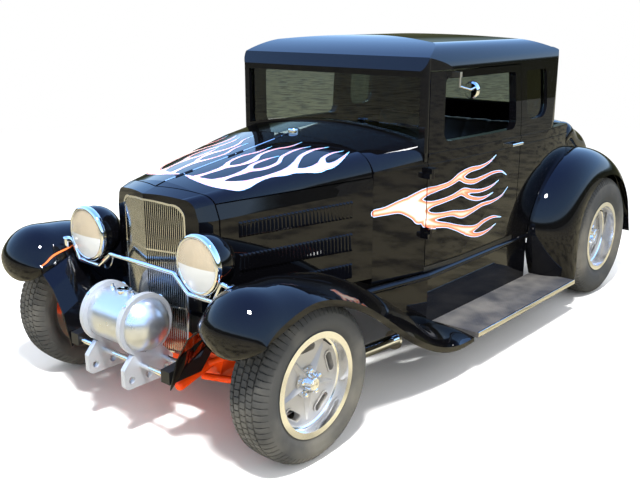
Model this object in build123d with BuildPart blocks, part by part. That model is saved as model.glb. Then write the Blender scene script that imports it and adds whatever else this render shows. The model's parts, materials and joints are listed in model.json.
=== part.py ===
from build123d import *
import os
from math import asin, cos, hypot, radians, sin, tan

os.makedirs("parts", exist_ok=True)

# A street coupe of the early 1930s. Millimetres and degrees.
# The nose points along -Y, the car's left side is +X and z = 0 is the ground.
# y = 0 is halfway between the axles.

# Stance
wheelbase = 2629.0
front_tyre_radius = 314.0
rear_tyre_radius = 355.5
front_track = 1410.0
rear_track = 1372.0

# Clearances: seats of fixed pieces, running fits of pins and gaps round doors and lids
seat_gap = 0.3
pin_gap = 0.05
panel_gap = 5.0

# Wheels and tyres
rim_seat_radius = 190.5
rim_flange_radius = 207.0
rim_wall = 7.0
front_rim_width = 165.0
rear_rim_width = 200.0
front_tyre_width = 198.0
rear_tyre_width = 228.0
tread_crown = 9.0
spindle_radius = 22.0
hub_radius = 62.0
hub_cap_radius = 36.0
slot_count = 5
slot_circle = 136.0
slot_length = 84.0
slot_width = 30.0
slot_lip = 6.0
wheel_ridge = ((40.0, 44.0, 22.0), (158.0, 12.0, 5.0))
disc_thickness = 24.0
hub_depth = 30.0
hub_face = 8.0
cap_length = 34.0
front_dish = 56.0
rear_dish = 84.0
brake_radius = 140.0
damper_radius = 30.0
front_damper_x = 470.0
rear_damper_x = 300.0

# Frame rails and their crossmembers
rail_height = 85.0
rail_width = 50.0
rail_front_x = 300.0
rail_rear_x = 420.0
horn_z = 288.0
frame_front_y = -1640.0
frame_rear_y = 1600.0
kick_up = 110.0
rail_splay_y = -1250.0
rail_straight_y = -300.0
trailing_arm_x = 360.0
trailing_arm_y = 720.0

# Engine and radiator blocks
engine_width = 460.0
engine_length = 640.0
engine_height = 440.0
engine_front_y = -1300.0
radiator_half_width = 240.0
radiator_gap = 20.0
radiator_top_z = 881.0

# Body shell
body_wall = 40.0
body_bottom = 470.0
floor_thickness = 20.0
belt_z = 1040.0
bead_height = 4.0
belt_beads = ((976.0, 986.0), (1018.0, 1034.0))
cab_half_width = 620.0
sill_half_width = 600.0
drip_half_width = 594.0
drip_z = 1405.0
roof_top_z = 1548.0
roof_wall = 28.0
roof_front_y = -345.0
visor_slope = 34.0
windscreen_y = -306.0
cowl_front_y = -612.0
cowl_front_half_width = 503.0
cowl_top_front_z = 1108.0
cowl_top_rear_z = 1140.0
firewall_thickness = 25.0
cowl_cap_y = -574.0
cowl_cap_radius = 28.0
body_front_half_width = 577.0
door_front_y = -298.0
door_rear_y = 508.0
door_bottom = 500.0
cab_rear_y = 1120.0
deck_rear_y = 1740.0
deck_rear_half_width = 440.0

# Windows: sill and head heights, and where they start and end
window_head_z = 1366.0
door_window_sill_z = 1078.0
door_window_front_y = -190.0
door_window_rear_y = 455.0
quarter_window_sill_z = 1111.0
quarter_window_front_y = 572.0
quarter_window_rear_y = 806.0
rear_window_half_width = 350.0
rear_window_sill_z = 1140.0
rear_window_head_z = 1340.0
glass_thickness = 6.0
pillar_depth = 45.0

# Rear wheel recesses in the body
arch_gap = 24.0
tub_wall = 8.0

# Deck lid
lid_half_width = 330.0
lid_front_y = 1200.0
lid_rear_z = 640.0
lid_hinge_z = 1066.0
lid_hinge_x = 240.0
lid_barrel_radius = 9.0
lid_barrel_length = 25.0
lid_pin_radius = 5.0
luggage_floor_z = 581.0

# Hood and nose
hood_sheet = 5.0
nose_side_y = -1420.0
nose_point = 50.0
shell_depth = 64.0
grille_half_width = 196.0
grille_top_z = 941.0
grille_bottom_z = 300.0
grille_frame = 8.0
bar_count = 20
bar_width = 3.4
bar_depth = 12.0
bar_setback = 2.0
cross_bar_heights = (497.0, 727.0)
cross_bar_height = 7.0
hood_bottom_z = 500.0
ridge_gap = 6.2
ridge_bar_radius = 3.0
ridge_end_gap = 1.0
knuckle_radius = 6.0
knuckle_length = 40.0
knuckles_left = (60.0, 360.0, 660.0)
knuckles_right = (110.0, 410.0, 710.0)
louver_count = 30
louver_front_y = -1250.0
louver_rear_y = -735.0
louver_length = 13.0
louver_height = 6.0
louver_rows = (
    # low and high edge at the front, then at the rear
    ((791.0, 848.0), (799.0, 866.0)),
    ((650.0, 714.0), (650.0, 723.0)),
    ((525.0, 582.0), (525.0, 586.0)),
)

# Fenders
fender_sheet = 6.0
front_lip_x = 835.0
crown_x = 650.0
rear_lip_x = 805.0

# Running boards and splash aprons
board_inner_x = 598.6
board_outer_x = 853.0
board_top_z = 217.0
board_thickness = 24.0
# The board is let down by a little where the rear fender's foot stands on it
foot_seat_y = 750.5
foot_seat_depth = 1.0
board_front_y = -245.0
board_rear_y = 807.0
apron_sheet = 6.0
apron_bottom_z = 216.0
apron_roll_radius = 16.0

# Door hinges
hinge_pin_radius = 5.0
hinge_barrel_radius = 10.0
hinge_barrel_height = 22.0
hinge_x = 606.0
hinge_heights = (643.0, 925.0)

# Headlamps
lamp_x = 356.0
lamp_y = -1502.0
lamp_z = 740.0
lamp_rim_radius = 121.0
lamp_depth = 165.0
lamp_bar_radius = 10.0
lamp_bar_z = 675.0
lamp_foot_x = 530.0
lamp_foot_z = 682.0
lamp_foot_radius = 18.0

# Front tank and its ring brackets
tank_radius = 108.0
tank_y = -1586.0
tank_z = 470.0
tank_ring_x = 120.0
tank_ring_width = 24.0
tank_ring_radius = 128.0
bracket_foot_z = 226.0
bracket_foot_height = 84.0
spreader_radius = 12.0
spreader_z = 311.0
spreader_ys = (-1620.0, -1512.0)

# Door mirror and handles
mirror_x = 632.0
mirror_y = -37.0
mirror_z = 1307.0
mirror_radius = 40.0
mirror_clamp_y = -142.0
handle_y = 430.0
handle_z = 1000.0
handle_length = 110.0

# Rear lamps and plate holder
tail_lamp_x = 360.0
tail_lamp_z = 600.0
tail_lamp_radius = 45.0
tail_lamp_proud = 8.0
plate_hole_x = 178.0
plate_hole_z = 121.0
plate_hole_radius = 3.5
plate_centre_z = 492.0

# Seat, dash and steering wheel
seat_front_y = 180.0
seat_depth = 480.0
seat_height = 300.0
seat_half_width = 540.0
driver_x = 300.0
steering_wheel_radius = 190.0
steering_rim_radius = 13.0
column_radius = 22.0
shaft_radius = 9.0
dash_thickness = 18.0
dash_setback = 40.0
dash_bottom_z = 870.0
column_tilt = 32.0
steering_wheel_y = -75.0
steering_wheel_z = 955.0

front_axle_y = -wheelbase / 2
rear_axle_y = wheelbase / 2
rail_top = body_bottom - seat_gap
rail_bottom = rail_top - rail_height
cowl_rear_y = door_front_y - panel_gap
quarter_front_y = door_rear_y + panel_gap
reach = 2500.0


def across(y, z, lean):
    """Plane across a fender's run: local x is +X, local y is up and leans forward by lean degrees."""
    a = radians(lean)
    return Plane(origin=(0, y, z), x_dir=(1, 0, 0), z_dir=(0, -cos(a), -sin(a)))


def save(part, name):
    part.label = name
    export_step(part, "parts/" + name + ".step")


def save_pair(part, name):
    """A piece of the left side and the same piece on the right side."""
    save(part, name + "_left")
    save(mirror(part, about=Plane.YZ), name + "_right")


def both_sides(part, name):
    """One node that holds the left piece and its twin on the right."""
    save(Part() + [part, mirror(part, about=Plane.YZ)], name)


def slab(x0, x1, y0, y1, z0, z1):
    """A plain box between two corners, used to keep or to cut away a region."""
    box = Box(x1 - x0, y1 - y0, z1 - z0, mode=Mode.PRIVATE)
    return Pos((x0 + x1) / 2, (y0 + y1) / 2, (z0 + z1) / 2) * box


def body_plan(level, inset):
    """The lower body seen from above, inset by the wall for its cavity."""
    rear = deck_rear_y - inset
    with BuildSketch(Plane.XY.offset(level)) as plan:
        with BuildLine():
            nose = Line((0, cowl_front_y), (body_front_half_width - inset, cowl_front_y))
            front = Line(nose @ 1, (body_front_half_width - inset, cowl_rear_y))
            door = ThreePointArc(front @ 1, (cab_half_width - 14 - inset, 20), (cab_half_width - inset, 420))
            quarter = Line(door @ 1, (cab_half_width - inset, 700))
            tail_x = deck_rear_half_width + 60 - inset
            tail = ThreePointArc(quarter @ 1, (585 - inset, 1200), (tail_x, rear - 150))
            corner = ThreePointArc(tail @ 1, (tail_x - 35, rear - 50), (tail_x - 120, rear))
            Line(corner @ 1, (0, rear))
            mirror(about=Plane.YZ)
        make_face()
    return plan.sketch


def cab_plan(level, inset):
    """The cab above the belt seen from above: its rear corners are rounded."""
    rear = cab_rear_y - inset
    with BuildSketch(Plane.XY.offset(level)) as plan:
        with BuildLine():
            front_x = body_front_half_width - inset
            nose = Line((0, roof_front_y), (front_x - 30, roof_front_y))
            corner = ThreePointArc(nose @ 1, (front_x - 9, roof_front_y + 10), (front_x, cowl_rear_y))
            door = ThreePointArc(corner @ 1, (cab_half_width - 14 - inset, 20), (cab_half_width - inset, 420))
            quarter = Line(door @ 1, (cab_half_width - inset, 800))
            turn_x = cab_half_width - inset
            turn = ThreePointArc(quarter @ 1, (turn_x - 62, 1010 - inset * 0.7), (turn_x - 200, rear - 12))
            ThreePointArc(turn @ 1, (200, rear - 3), (0, rear))
            mirror(about=Plane.YZ)
        make_face()
    return plan.sketch


def cab_front_view(inset, drop):
    """The cab seen from ahead: barrel sides, drip edge and crowned roof."""
    low = body_bottom - (60 if inset else 0)
    top = roof_top_z - drop
    with BuildSketch(Plane.XZ) as view:
        with BuildLine():
            base = Line((0, low), (sill_half_width - inset, low))
            side = ThreePointArc(base @ 1, (cab_half_width - inset, 960), (drip_half_width - inset, drip_z))
            edge_x = drip_half_width - inset
            shoulder = ThreePointArc(side @ 1, (edge_x - 32, top - 66), (edge_x - 122, top - 24))
            ThreePointArc(shoulder @ 1, (240, top - 6), (0, top))
            mirror(about=Plane.YZ)
        make_face()
    return view.sketch


def cab_side_view(inset, drop):
    """The cab seen from the side: visor, roof line and raked back panel."""
    top = roof_top_z - drop
    rear = cab_rear_y - inset
    low = body_bottom - 60
    front = roof_front_y + inset
    with BuildSketch(Plane.YZ) as view:
        with BuildLine():
            visor = Line((front, low), (front, drip_z))
            face = Line(visor @ 1, (front + visor_slope, top - 84))
            rise = ThreePointArc(face @ 1, (front + 200, top - 24), (150, top))
            fall = ThreePointArc(rise @ 1, (600, top - 13), (907 - inset * 0.5, top - 70))
            turn = ThreePointArc(fall @ 1, (1040 - inset * 0.8, top - 128), (rear - 22, top - 250))
            back = Line(turn @ 1, (rear, belt_z))
            floor = Line(back @ 1, (rear, low))
            Line(floor @ 1, visor @ 0)
        make_face()
    return view.sketch


def cab_form(inset, drop):
    """The cab's outer form, or its cavity when inset by the wall and dropped by the roof."""
    low = body_bottom - (60 if inset else 0)
    with BuildPart() as form:
        extrude(body_plan(low, inset), amount=belt_z - low)
        add(slab(-reach, reach, cab_rear_y - inset, reach, 0, reach), mode=Mode.SUBTRACT)
        extrude(cab_plan(belt_z, inset), amount=reach)
        extrude(cab_front_view(inset, drop), amount=reach, both=True, mode=Mode.INTERSECT)
        extrude(cab_side_view(inset, drop), amount=reach, both=True, mode=Mode.INTERSECT)
    return form.part


def wheel_recess(radius, inner_x):
    """The room that a rear wheel takes out of each body side."""
    with BuildPart() as recess:
        for side in (1, -1):
            with BuildSketch(Plane.YZ.offset(side * (inner_x + 150))):
                with Locations((rear_axle_y, rear_tyre_radius)):
                    Circle(radius)
            extrude(amount=150, both=True)
    return recess.part


recess_inner_x = rear_track / 2 - rear_tyre_width / 2 - arch_gap
arch_room = wheel_recess(rear_tyre_radius + arch_gap, recess_inner_x)
# The tub that closes each recess towards the cab and the luggage space
tub = wheel_recess(rear_tyre_radius + arch_gap + tub_wall, recess_inner_x - tub_wall) - arch_room
cab_outer = cab_form(0, 0)
cab_cavity = cab_form(body_wall, roof_wall)
cab_seat = cab_form(-seat_gap, -seat_gap)
belt_bands = [slab(-reach, reach, -reach, reach, low, high) for low, high in belt_beads]
raised_cab = cab_form(-bead_height, -bead_height) & (belt_bands[0] + belt_bands[1])
raised_cab = raised_cab & slab(-reach, reach, -reach, cab_rear_y, 0, reach)
cab_shell = (cab_outer + raised_cab - cab_cavity - arch_room) + (tub & cab_cavity)


# Lower body behind the cab
deck_sections = (
    # y, half width, side top z, shoulder via, shoulder end, crown via, crown z
    (1120, 592, 900, (8, 985), (62, 1030), (270, 1052), 1058),
    (1300, 580, 880, (8, 965), (70, 1012), (260, 1036), 1042),
    (1450, 560, 840, (10, 915), (75, 965), (240, 990), 998),
    (1560, 540, 790, (12, 868), (80, 918), (225, 944), 952),
    (1640, 522, 720, (14, 800), (80, 852), (215, 878), 886),
    (1700, 500, 640, (16, 715), (76, 760), (205, 784), 790),
    (1735, 470, 560, (16, 620), (70, 655), (195, 672), 678),
    (1745, 445, 500, (14, 545), (55, 565), (190, 574), 578),
)


def deck_form(inset):
    """The rear deck's outer form, crowned and rounded down to the tail, or its cavity."""
    low = body_bottom - (60 if inset > 0 else 0)
    drop = inset * 0.9
    with BuildPart() as form:
        for y, half, side_z, via, end, crown, top_z in deck_sections:
            # The cavity ends ahead of the tail panel by the wall
            share = (y - deck_sections[0][0]) / (deck_sections[-1][0] - deck_sections[0][0])
            with BuildSketch(Plane.XZ.offset(-y + inset * share)):
                with BuildLine():
                    w = half - inset
                    base = Line((0, low), (w, low))
                    side = Line(base @ 1, (w, side_z - drop))
                    turn = ThreePointArc(side @ 1, (w - via[0], via[1] - drop), (w - end[0], end[1] - drop))
                    ThreePointArc(turn @ 1, (crown[0], crown[1] - drop), (0, top_z - drop))
                    mirror(about=Plane.YZ)
                make_face()
        loft()
        behind_cab = slab(-reach, reach, cab_rear_y + seat_gap - abs(inset), reach, 0, reach)
        add(behind_cab, mode=Mode.INTERSECT)
    return form.part


deck_outer = deck_form(0)
deck_cavity = deck_form(body_wall)
deck_seat = deck_form(-seat_gap)
deck_shell = (deck_outer - deck_cavity - arch_room) + (tub & deck_cavity & deck_outer)

# Cowl: firewall ahead, open to the cab behind
def cowl_form(inset, front_y, rear_y):
    """The cowl's outer form between the hood and the doors, or its cavity."""
    low = body_bottom - (60 if inset else 0)
    drop = inset * 0.75
    sections = (
        # y, half width, shoulder start z, shoulder via, shoulder end, crown via, crown z
        (front_y, cowl_front_half_width, 985, (25, 1028), (86, 1068), (245, 1096), cowl_top_front_z),
        (rear_y, body_front_half_width, 1012, (24, 1062), (80, 1092), (270, 1126), cowl_top_rear_z),
    )
    with BuildPart() as form:
        for y, half, start_z, via, end, crown, top_z in sections:
            with BuildSketch(Plane.XZ.offset(-y)):
                with BuildLine():
                    w = half - inset
                    base = Line((0, low), (w, low))
                    side = Line(base @ 1, (w, start_z - drop))
                    turn = ThreePointArc(side @ 1, (w - via[0], via[1] - drop), (w - end[0], end[1] - drop))
                    ThreePointArc(turn @ 1, (crown[0], crown[1] - drop), (0, top_z - drop))
                    mirror(about=Plane.YZ)
                make_face()
        loft(ruled=True)
    return form.part


def cowl_room(gap):
    """The room behind the firewall inside the cowl, kept clear of its walls by gap."""
    room = cowl_form(body_wall + gap, cowl_front_y, cowl_rear_y + 20)
    return room & slab(-reach, reach, cowl_front_y + firewall_thickness + gap, reach, 0, reach)


with BuildPart() as cowl:
    add(cowl_form(0, cowl_front_y, cowl_rear_y))
    add(cowl_form(-bead_height, cowl_front_y, cowl_rear_y) & belt_bands[0])
    add(cowl_room(0), mode=Mode.SUBTRACT)
    # Pins and lower barrels of the door hinges
    for z in hinge_heights:
        for side in (1, -1):
            with BuildSketch(Plane.XY.offset(z)):
                with Locations((side * hinge_x, cowl_rear_y)):
                    Circle(hinge_barrel_radius)
                with Locations((side * (body_front_half_width + hinge_x) / 2, cowl_rear_y - 14)):
                    Rectangle(hinge_x - body_front_half_width + 8, 26)
            extrude(amount=hinge_barrel_height)
            with BuildSketch(Plane.XY.offset(z + hinge_barrel_height)):
                with Locations((side * hinge_x, cowl_rear_y)):
                    Circle(hinge_pin_radius)
            extrude(amount=hinge_barrel_height)
save(cowl.part, "cowl")

# Filler cap on the cowl's top
with BuildPart() as cowl_cap:
    with BuildSketch(Plane.XY.offset(cowl_top_front_z - 30)):
        with Locations((0, cowl_cap_y)):
            Circle(cowl_cap_radius)
    extrude(amount=52)
    fillet(cowl_cap.edges().group_by(Axis.Z)[-1], 8)
    add(cowl_form(-seat_gap, cowl_front_y, cowl_rear_y), mode=Mode.SUBTRACT)
save(cowl_cap.part, "cowl_cap")


def window_cut(sill, head, front, rear, low_radius, across_x):
    """A window opening through both sides, rounded at its lower corners."""
    with BuildPart() as cut:
        with BuildSketch(Plane.YZ):
            with Locations(((front + rear) / 2, (sill + head) / 2)):
                Rectangle(rear - front, head - sill)
        extrude(amount=across_x, both=True)
        fillet(cut.edges().filter_by(Axis.X).group_by(Axis.Z)[0], low_radius)
        fillet(cut.edges().filter_by(Axis.X).group_by(Axis.Z)[-1], 18)
    return cut.part


door_window = window_cut(door_window_sill_z, window_head_z, door_window_front_y, door_window_rear_y, 45, reach)
quarter_window = window_cut(quarter_window_sill_z, window_head_z, quarter_window_front_y, quarter_window_rear_y, 70, reach)



def rear_window_room(inset):
    """The opening through the cab's back panel, drawn in by inset."""
    height = rear_window_head_z - rear_window_sill_z
    with BuildPart() as room:
        with BuildSketch(Plane.XZ.offset(-cab_rear_y - 100)):
            with Locations((0, rear_window_sill_z + height / 2)):
                RectangleRounded(2 * (rear_window_half_width - inset), height - 2 * inset, 45 - inset)
        extrude(amount=250)
    return room.part


# Doors: the left one is cut from the cab's shell, the right one is its mirror
with BuildPart() as door_left:
    add(cab_shell)
    add(slab(300, reach, door_front_y, door_rear_y, door_bottom, drip_z - panel_gap), mode=Mode.INTERSECT)
    add(door_window, mode=Mode.SUBTRACT)
    for z in hinge_heights:
        eye_z = z + hinge_barrel_height + seat_gap
        with BuildSketch(Plane.XY.offset(eye_z)):
            with Locations((hinge_x, cowl_rear_y)):
                Circle(hinge_barrel_radius)
            with Locations(((body_front_half_width + hinge_x) / 2 + 2, cowl_rear_y + 20)):
                Rectangle(hinge_x - body_front_half_width + 6, 38)
        extrude(amount=hinge_barrel_height)
        with BuildSketch(Plane.XY.offset(eye_z)):
            with Locations((hinge_x, cowl_rear_y)):
                Circle(hinge_pin_radius + pin_gap)
        extrude(amount=hinge_barrel_height, mode=Mode.SUBTRACT)
save_pair(door_left.part, "door")

# Cab behind the doors: quarter panels, their windows and the back panel
with BuildPart() as cab:
    add(cab_shell)
    add(slab(-reach, reach, quarter_front_y, reach, body_bottom, drip_z), mode=Mode.INTERSECT)
    add(quarter_window, mode=Mode.SUBTRACT)
    add(rear_window_room(0), mode=Mode.SUBTRACT)
save(cab.part, "cab")

# Roof with its visor
with BuildPart() as roof:
    add(cab_shell)
    add(slab(-reach, reach, -reach, reach, drip_z + seat_gap, reach), mode=Mode.INTERSECT)
save(roof.part, "roof")

# Windscreen posts, standing on the cowl under the roof
pillar_front_y = windscreen_y - pillar_depth / 2
cowl_seat = cowl_form(-seat_gap, cowl_front_y, cowl_rear_y)
with BuildPart() as windscreen_frame:
    add(cab_outer)
    add(slab(-reach, reach, pillar_front_y, cowl_rear_y, 1000, drip_z), mode=Mode.INTERSECT)
    add(cowl_seat, mode=Mode.SUBTRACT)
    with BuildSketch(Plane.XZ.offset(-windscreen_y - 100)):
        with BuildLine():
            w = body_front_half_width - 36
            low = Line((-w, 1092), (-w, window_head_z + 10))
            head = Line(low @ 1, (w, window_head_z + 10))
            right = Line(head @ 1, (w, 1092))
            ThreePointArc(right @ 1, (0, cowl_top_rear_z + 8), low @ 0)
        make_face()
    extrude(amount=200, mode=Mode.SUBTRACT)
save(windscreen_frame.part, "windscreen_frame")

# Rear deck shell, its lid opening and the lid, hinged at its front edge
lid_region = slab(-lid_half_width, lid_half_width, lid_front_y, reach, lid_rear_z, reach)
gap_x = lid_half_width + panel_gap
lid_opening = slab(-gap_x, gap_x, lid_front_y - panel_gap, reach, lid_rear_z - panel_gap, reach)
lid_hinge_y = lid_front_y - panel_gap


def lid_rod(radius, x0, x1):
    """A round bar on the lid's hinge line, on both sides of the car."""
    with BuildPart() as rod:
        with BuildSketch(Plane.YZ.offset(x0)):
            with Locations((lid_hinge_y, lid_hinge_z)):
                Circle(radius)
        extrude(amount=x1 - x0)
        mirror(about=Plane.YZ)
    return rod.part


def lid_leaf(x0, x1, y0, y1):
    """A hinge leaf let into the deck's or the lid's surface, on both sides."""
    leaf = slab(x0, x1, y0, y1, lid_hinge_z - 9, lid_hinge_z - 2)
    return leaf + mirror(leaf, about=Plane.YZ)


with BuildPart() as rear_deck:
    add(deck_shell)
    add(lid_opening, mode=Mode.SUBTRACT)
    add(lid_rod(lid_barrel_radius + 0.5, lid_hinge_x - 1, lid_hinge_x + lid_barrel_length + 1), mode=Mode.SUBTRACT)
    add(lid_rod(lid_barrel_radius, lid_hinge_x - lid_barrel_length, lid_hinge_x - seat_gap))
    add(lid_leaf(lid_hinge_x - lid_barrel_length, lid_hinge_x - seat_gap, lid_hinge_y - 26, lid_hinge_y))
    add(lid_rod(lid_pin_radius, lid_hinge_x - lid_barrel_length, lid_hinge_x + lid_barrel_length))
save(rear_deck.part, "rear_deck")
with BuildPart() as deck_lid:
    add(deck_shell)
    add(lid_region, mode=Mode.INTERSECT)
    add(lid_rod(lid_barrel_radius + 0.5, lid_hinge_x - lid_barrel_length - 1, lid_hinge_x + 1), mode=Mode.SUBTRACT)
    add(lid_rod(lid_barrel_radius, lid_hinge_x, lid_hinge_x + lid_barrel_length))
    add(lid_leaf(lid_hinge_x, lid_hinge_x + lid_barrel_length, lid_hinge_y, lid_hinge_y + 30))
    add(lid_rod(lid_pin_radius + pin_gap, lid_hinge_x - 1, lid_hinge_x + lid_barrel_length + 1), mode=Mode.SUBTRACT)
save(deck_lid.part, "deck_lid")

# Nose: one form for the radiator shell and the hood, split along a V like the grille's
nose_sections = (
    # y, half width, crease z, seam x, seam z, shoulder, shoulder end, crown via, crown z
    (nose_side_y - nose_point - 20, 205, 868, 200, 905, (186, 930), (150, 942), (90, 950), 955),
    (nose_side_y + shell_depth, 285, 870, 268, 932, (250, 952), (214, 966), (110, 984), 993),
    (cowl_front_y - seat_gap, 503, 909, 500, 962, (478, 1028), (417, 1068), (245, 1096), cowl_top_front_z),
)


def nose_form(inset):
    """The hood's outer form from the grille to the cowl, or its cavity."""
    low = hood_bottom_z - (220 if inset else 0)
    with BuildPart() as form:
        for y, half, crease_z, seam_x, seam_z, via, end, crown, top_z in nose_sections:
            with BuildSketch(Plane.XZ.offset(-y)):
                with BuildLine():
                    base = Line((0, low), (half - inset, low))
                    side = Line(base @ 1, (half - inset, crease_z))
                    bevel = Line(side @ 1, (seam_x - inset, seam_z))
                    turn = ThreePointArc(bevel @ 1, (via[0] - inset * 0.8, via[1] - inset * 0.6), (end[0] - inset * 0.6, end[1] - inset * 0.9))
                    ThreePointArc(turn @ 1, (crown[0], crown[1] - inset), (0, top_z - inset))
                    mirror(about=Plane.YZ)
                make_face()
        loft(ruled=True)
    return form.part


def nose_wedge(setback):
    """Everything behind the V of the grille, moved back by setback."""
    slope = nose_point / grille_half_width
    point = nose_side_y - nose_point + setback
    width = 4 * grille_half_width
    with BuildPart() as wedge:
        with BuildSketch():
            with BuildLine():
                Polyline((0, point), (width, point + slope * width), (width, 0), (0, 0))
                mirror(about=Plane.YZ)
            make_face()
        extrude(amount=reach)
    return wedge.part


def grille_outline(inset):
    """The grille's outline seen from ahead, drawn in by inset."""
    w = grille_half_width - inset
    low = grille_bottom_z + inset
    with BuildSketch(Plane.XZ.offset(reach)) as outline:
        with BuildLine():
            base = Line((0, low), (w - 14, low))
            flare = Line(base @ 1, (w, 470))
            side = Line(flare @ 1, (w, grille_top_z - 60))
            corner = ThreePointArc(side @ 1, (w - 18, 916 - inset), (w - 66, 930 - inset))
            ThreePointArc(corner @ 1, (70, 937 - inset), (0, grille_top_z - inset))
            mirror(about=Plane.YZ)
        make_face()
    return outline.sketch


# Radiator shell round the grille
with BuildPart() as radiator_shell:
    add(nose_form(0))
    add(nose_wedge(0), mode=Mode.INTERSECT)
    add(nose_wedge(shell_depth - seat_gap), mode=Mode.SUBTRACT)
    extrude(grille_outline(0), amount=-2 * reach, mode=Mode.SUBTRACT)
save(radiator_shell.part, "radiator_shell")

# Hood: top halves hinged on a bar along the ridge, over fixed sides
hood_shell = (nose_form(0) - nose_form(hood_sheet)) & nose_wedge(shell_depth + panel_gap)
seam_front = (nose_side_y + shell_depth, 934.0)
seam_rear = (cowl_front_y, 964.0)
with BuildPart() as above_seam:
    with BuildSketch(Plane.YZ):
        with BuildLine():
            slope = (seam_rear[1] - seam_front[1]) / (seam_rear[0] - seam_front[0])
            y0 = seam_front[0] - 300
            y1 = seam_rear[0] + 100
            z0 = seam_front[1] - 300 * slope
            z1 = seam_rear[1] + 100 * slope
            Polyline((y0, z0), (y1, z1), (y1, reach), (y0, reach), close=True)
        make_face()
    extrude(amount=reach, both=True)
ridge_y, ridge_z = nose_sections[1][0], nose_sections[1][-1]
ridge_run = (nose_sections[2][0] - ridge_y, cowl_top_front_z - ridge_z)
ridge = Plane(origin=(0, ridge_y, ridge_z), x_dir=(1, 0, 0), z_dir=(0, ridge_run[0], ridge_run[1]))


def ridge_rod(radius, start, length):
    """A round bar on the ridge line."""
    with BuildSketch(ridge.offset(start)) as section:
        Circle(radius)
    return extrude(section.sketch, amount=length, mode=Mode.PRIVATE)


def hood_half(side, own, other):
    """One hinged half of the hood's top, with its knuckles round the ridge bar."""
    tops = hood_shell & above_seam.part & slab(-reach, reach, -reach, cowl_front_y - panel_gap, 0, reach)
    low, high = sorted((side * ridge_gap, side * reach))
    with BuildPart() as half:
        add(tops & slab(low, high, -reach, reach, 0, reach))
        for start in other:
            add(ridge_rod(knuckle_radius + 0.5, start - 1, knuckle_length + 2), mode=Mode.SUBTRACT)
        for start in own:
            with BuildSketch(ridge.offset(start)):
                Circle(knuckle_radius)
                with Locations((side * 8, hood_sheet / 2)):
                    Rectangle(9, hood_sheet - 1)
            extrude(amount=knuckle_length)
            add(ridge_rod(ridge_bar_radius + pin_gap, start - 1, knuckle_length + 2), mode=Mode.SUBTRACT)
    return half.part


save(hood_half(1, knuckles_left, knuckles_right), "hood_top_left")
save(hood_half(-1, knuckles_right, knuckles_left), "hood_top_right")
save(ridge_rod(ridge_bar_radius, ridge_end_gap, hypot(*ridge_run) - 2 * ridge_end_gap), "hood_ridge")
hood_side_run = (
    nose_sections[2][1] - nose_sections[1][1],
    nose_sections[2][0] - nose_sections[1][0],
    0,
)


def hood_side_point(y):
    """The point of the left hood side at y, seen from above."""
    share = (y - nose_sections[1][0]) / hood_side_run[1]
    return nose_sections[1][1] + share * hood_side_run[0], y


with BuildPart() as hood_side_left:
    add(hood_shell)
    add(Pos(0, 0, -panel_gap) * above_seam.part, mode=Mode.SUBTRACT)
    add(slab(0, reach, -reach, reach, hood_bottom_z, reach), mode=Mode.INTERSECT)
    # Louvers: pressed wedges that open towards the rear, in rows that follow the hood's taper
    run = louver_rear_y - louver_front_y
    for i in range(louver_count):
        share = i / (louver_count - 1)
        x, y = hood_side_point(louver_front_y + share * run)
        for front, rear in louver_rows:
            low = front[0] + share * (rear[0] - front[0])
            high = front[1] + share * (rear[1] - front[1])
            with BuildSketch(Plane(origin=(x, y, low), x_dir=hood_side_run, z_dir=(0, 0, 1))):
                with BuildLine():
                    Polyline((0, 1), (0, 0), (louver_length, -louver_height), (louver_length, 1), (0, 1))
                make_face()
            extrude(amount=high - low)
both_sides(hood_side_left.part, "hood_sides")

# Grille: thin upright bars in two flats that meet in a V, tied by cross bars inside a bright rim
bar_pitch = (grille_half_width - grille_frame) / bar_count
flat_slope = nose_point / grille_half_width
with BuildPart() as grille_rim:
    extrude(grille_outline(seat_gap), amount=-2 * reach)
    extrude(grille_outline(grille_frame), amount=-2 * reach, mode=Mode.SUBTRACT)
    add(nose_wedge(-bar_setback), mode=Mode.INTERSECT)
    add(nose_wedge(bar_setback + bar_depth), mode=Mode.SUBTRACT)
with BuildPart() as grille_bars:
    for i in range(-bar_count, bar_count + 1):
        x = i * bar_pitch
        y = nose_side_y - nose_point + flat_slope * abs(x) + bar_depth / 2 + bar_setback
        with BuildSketch(Plane.XY.offset(grille_bottom_z)):
            with Locations((x, y)):
                Rectangle(bar_width, bar_depth)
        extrude(amount=grille_top_z - grille_bottom_z)
    for z in cross_bar_heights:
        with BuildSketch(Plane.XY.offset(z)):
            with BuildLine():
                point = nose_side_y - nose_point + bar_setback + 1
                edge = point + flat_slope * grille_half_width
                deep = bar_depth + 4
                Polyline(
                    (0, point), (grille_half_width, edge), (grille_half_width, edge + deep), (0, point + deep),
                    (0, point),
                )
            make_face()
            mirror(about=Plane.YZ)
        extrude(amount=cross_bar_height)
    extrude(grille_outline(grille_frame - 1), amount=-2 * reach, mode=Mode.INTERSECT)
save(grille_rim.part + grille_bars.part, "grille")

# Frame
rail_run = (
    (rail_front_x, frame_front_y),
    (rail_front_x, rail_splay_y),
    (rail_rear_x, rail_straight_y),
    (rail_rear_x, frame_rear_y),
)


def rail_plan(inner, outer):
    """The plan between two offsets from the rails' centre lines, on both sides."""
    with BuildSketch() as plan:
        with BuildLine():
            outer_edge = [(x + outer, y) for x, y in rail_run]
            inner_edge = [(max(0, x + inner), y) for x, y in reversed(rail_run)]
            Polyline(*outer_edge, *inner_edge, close=True)
        make_face()
        mirror(about=Plane.YZ)
    return plan.sketch


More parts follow.
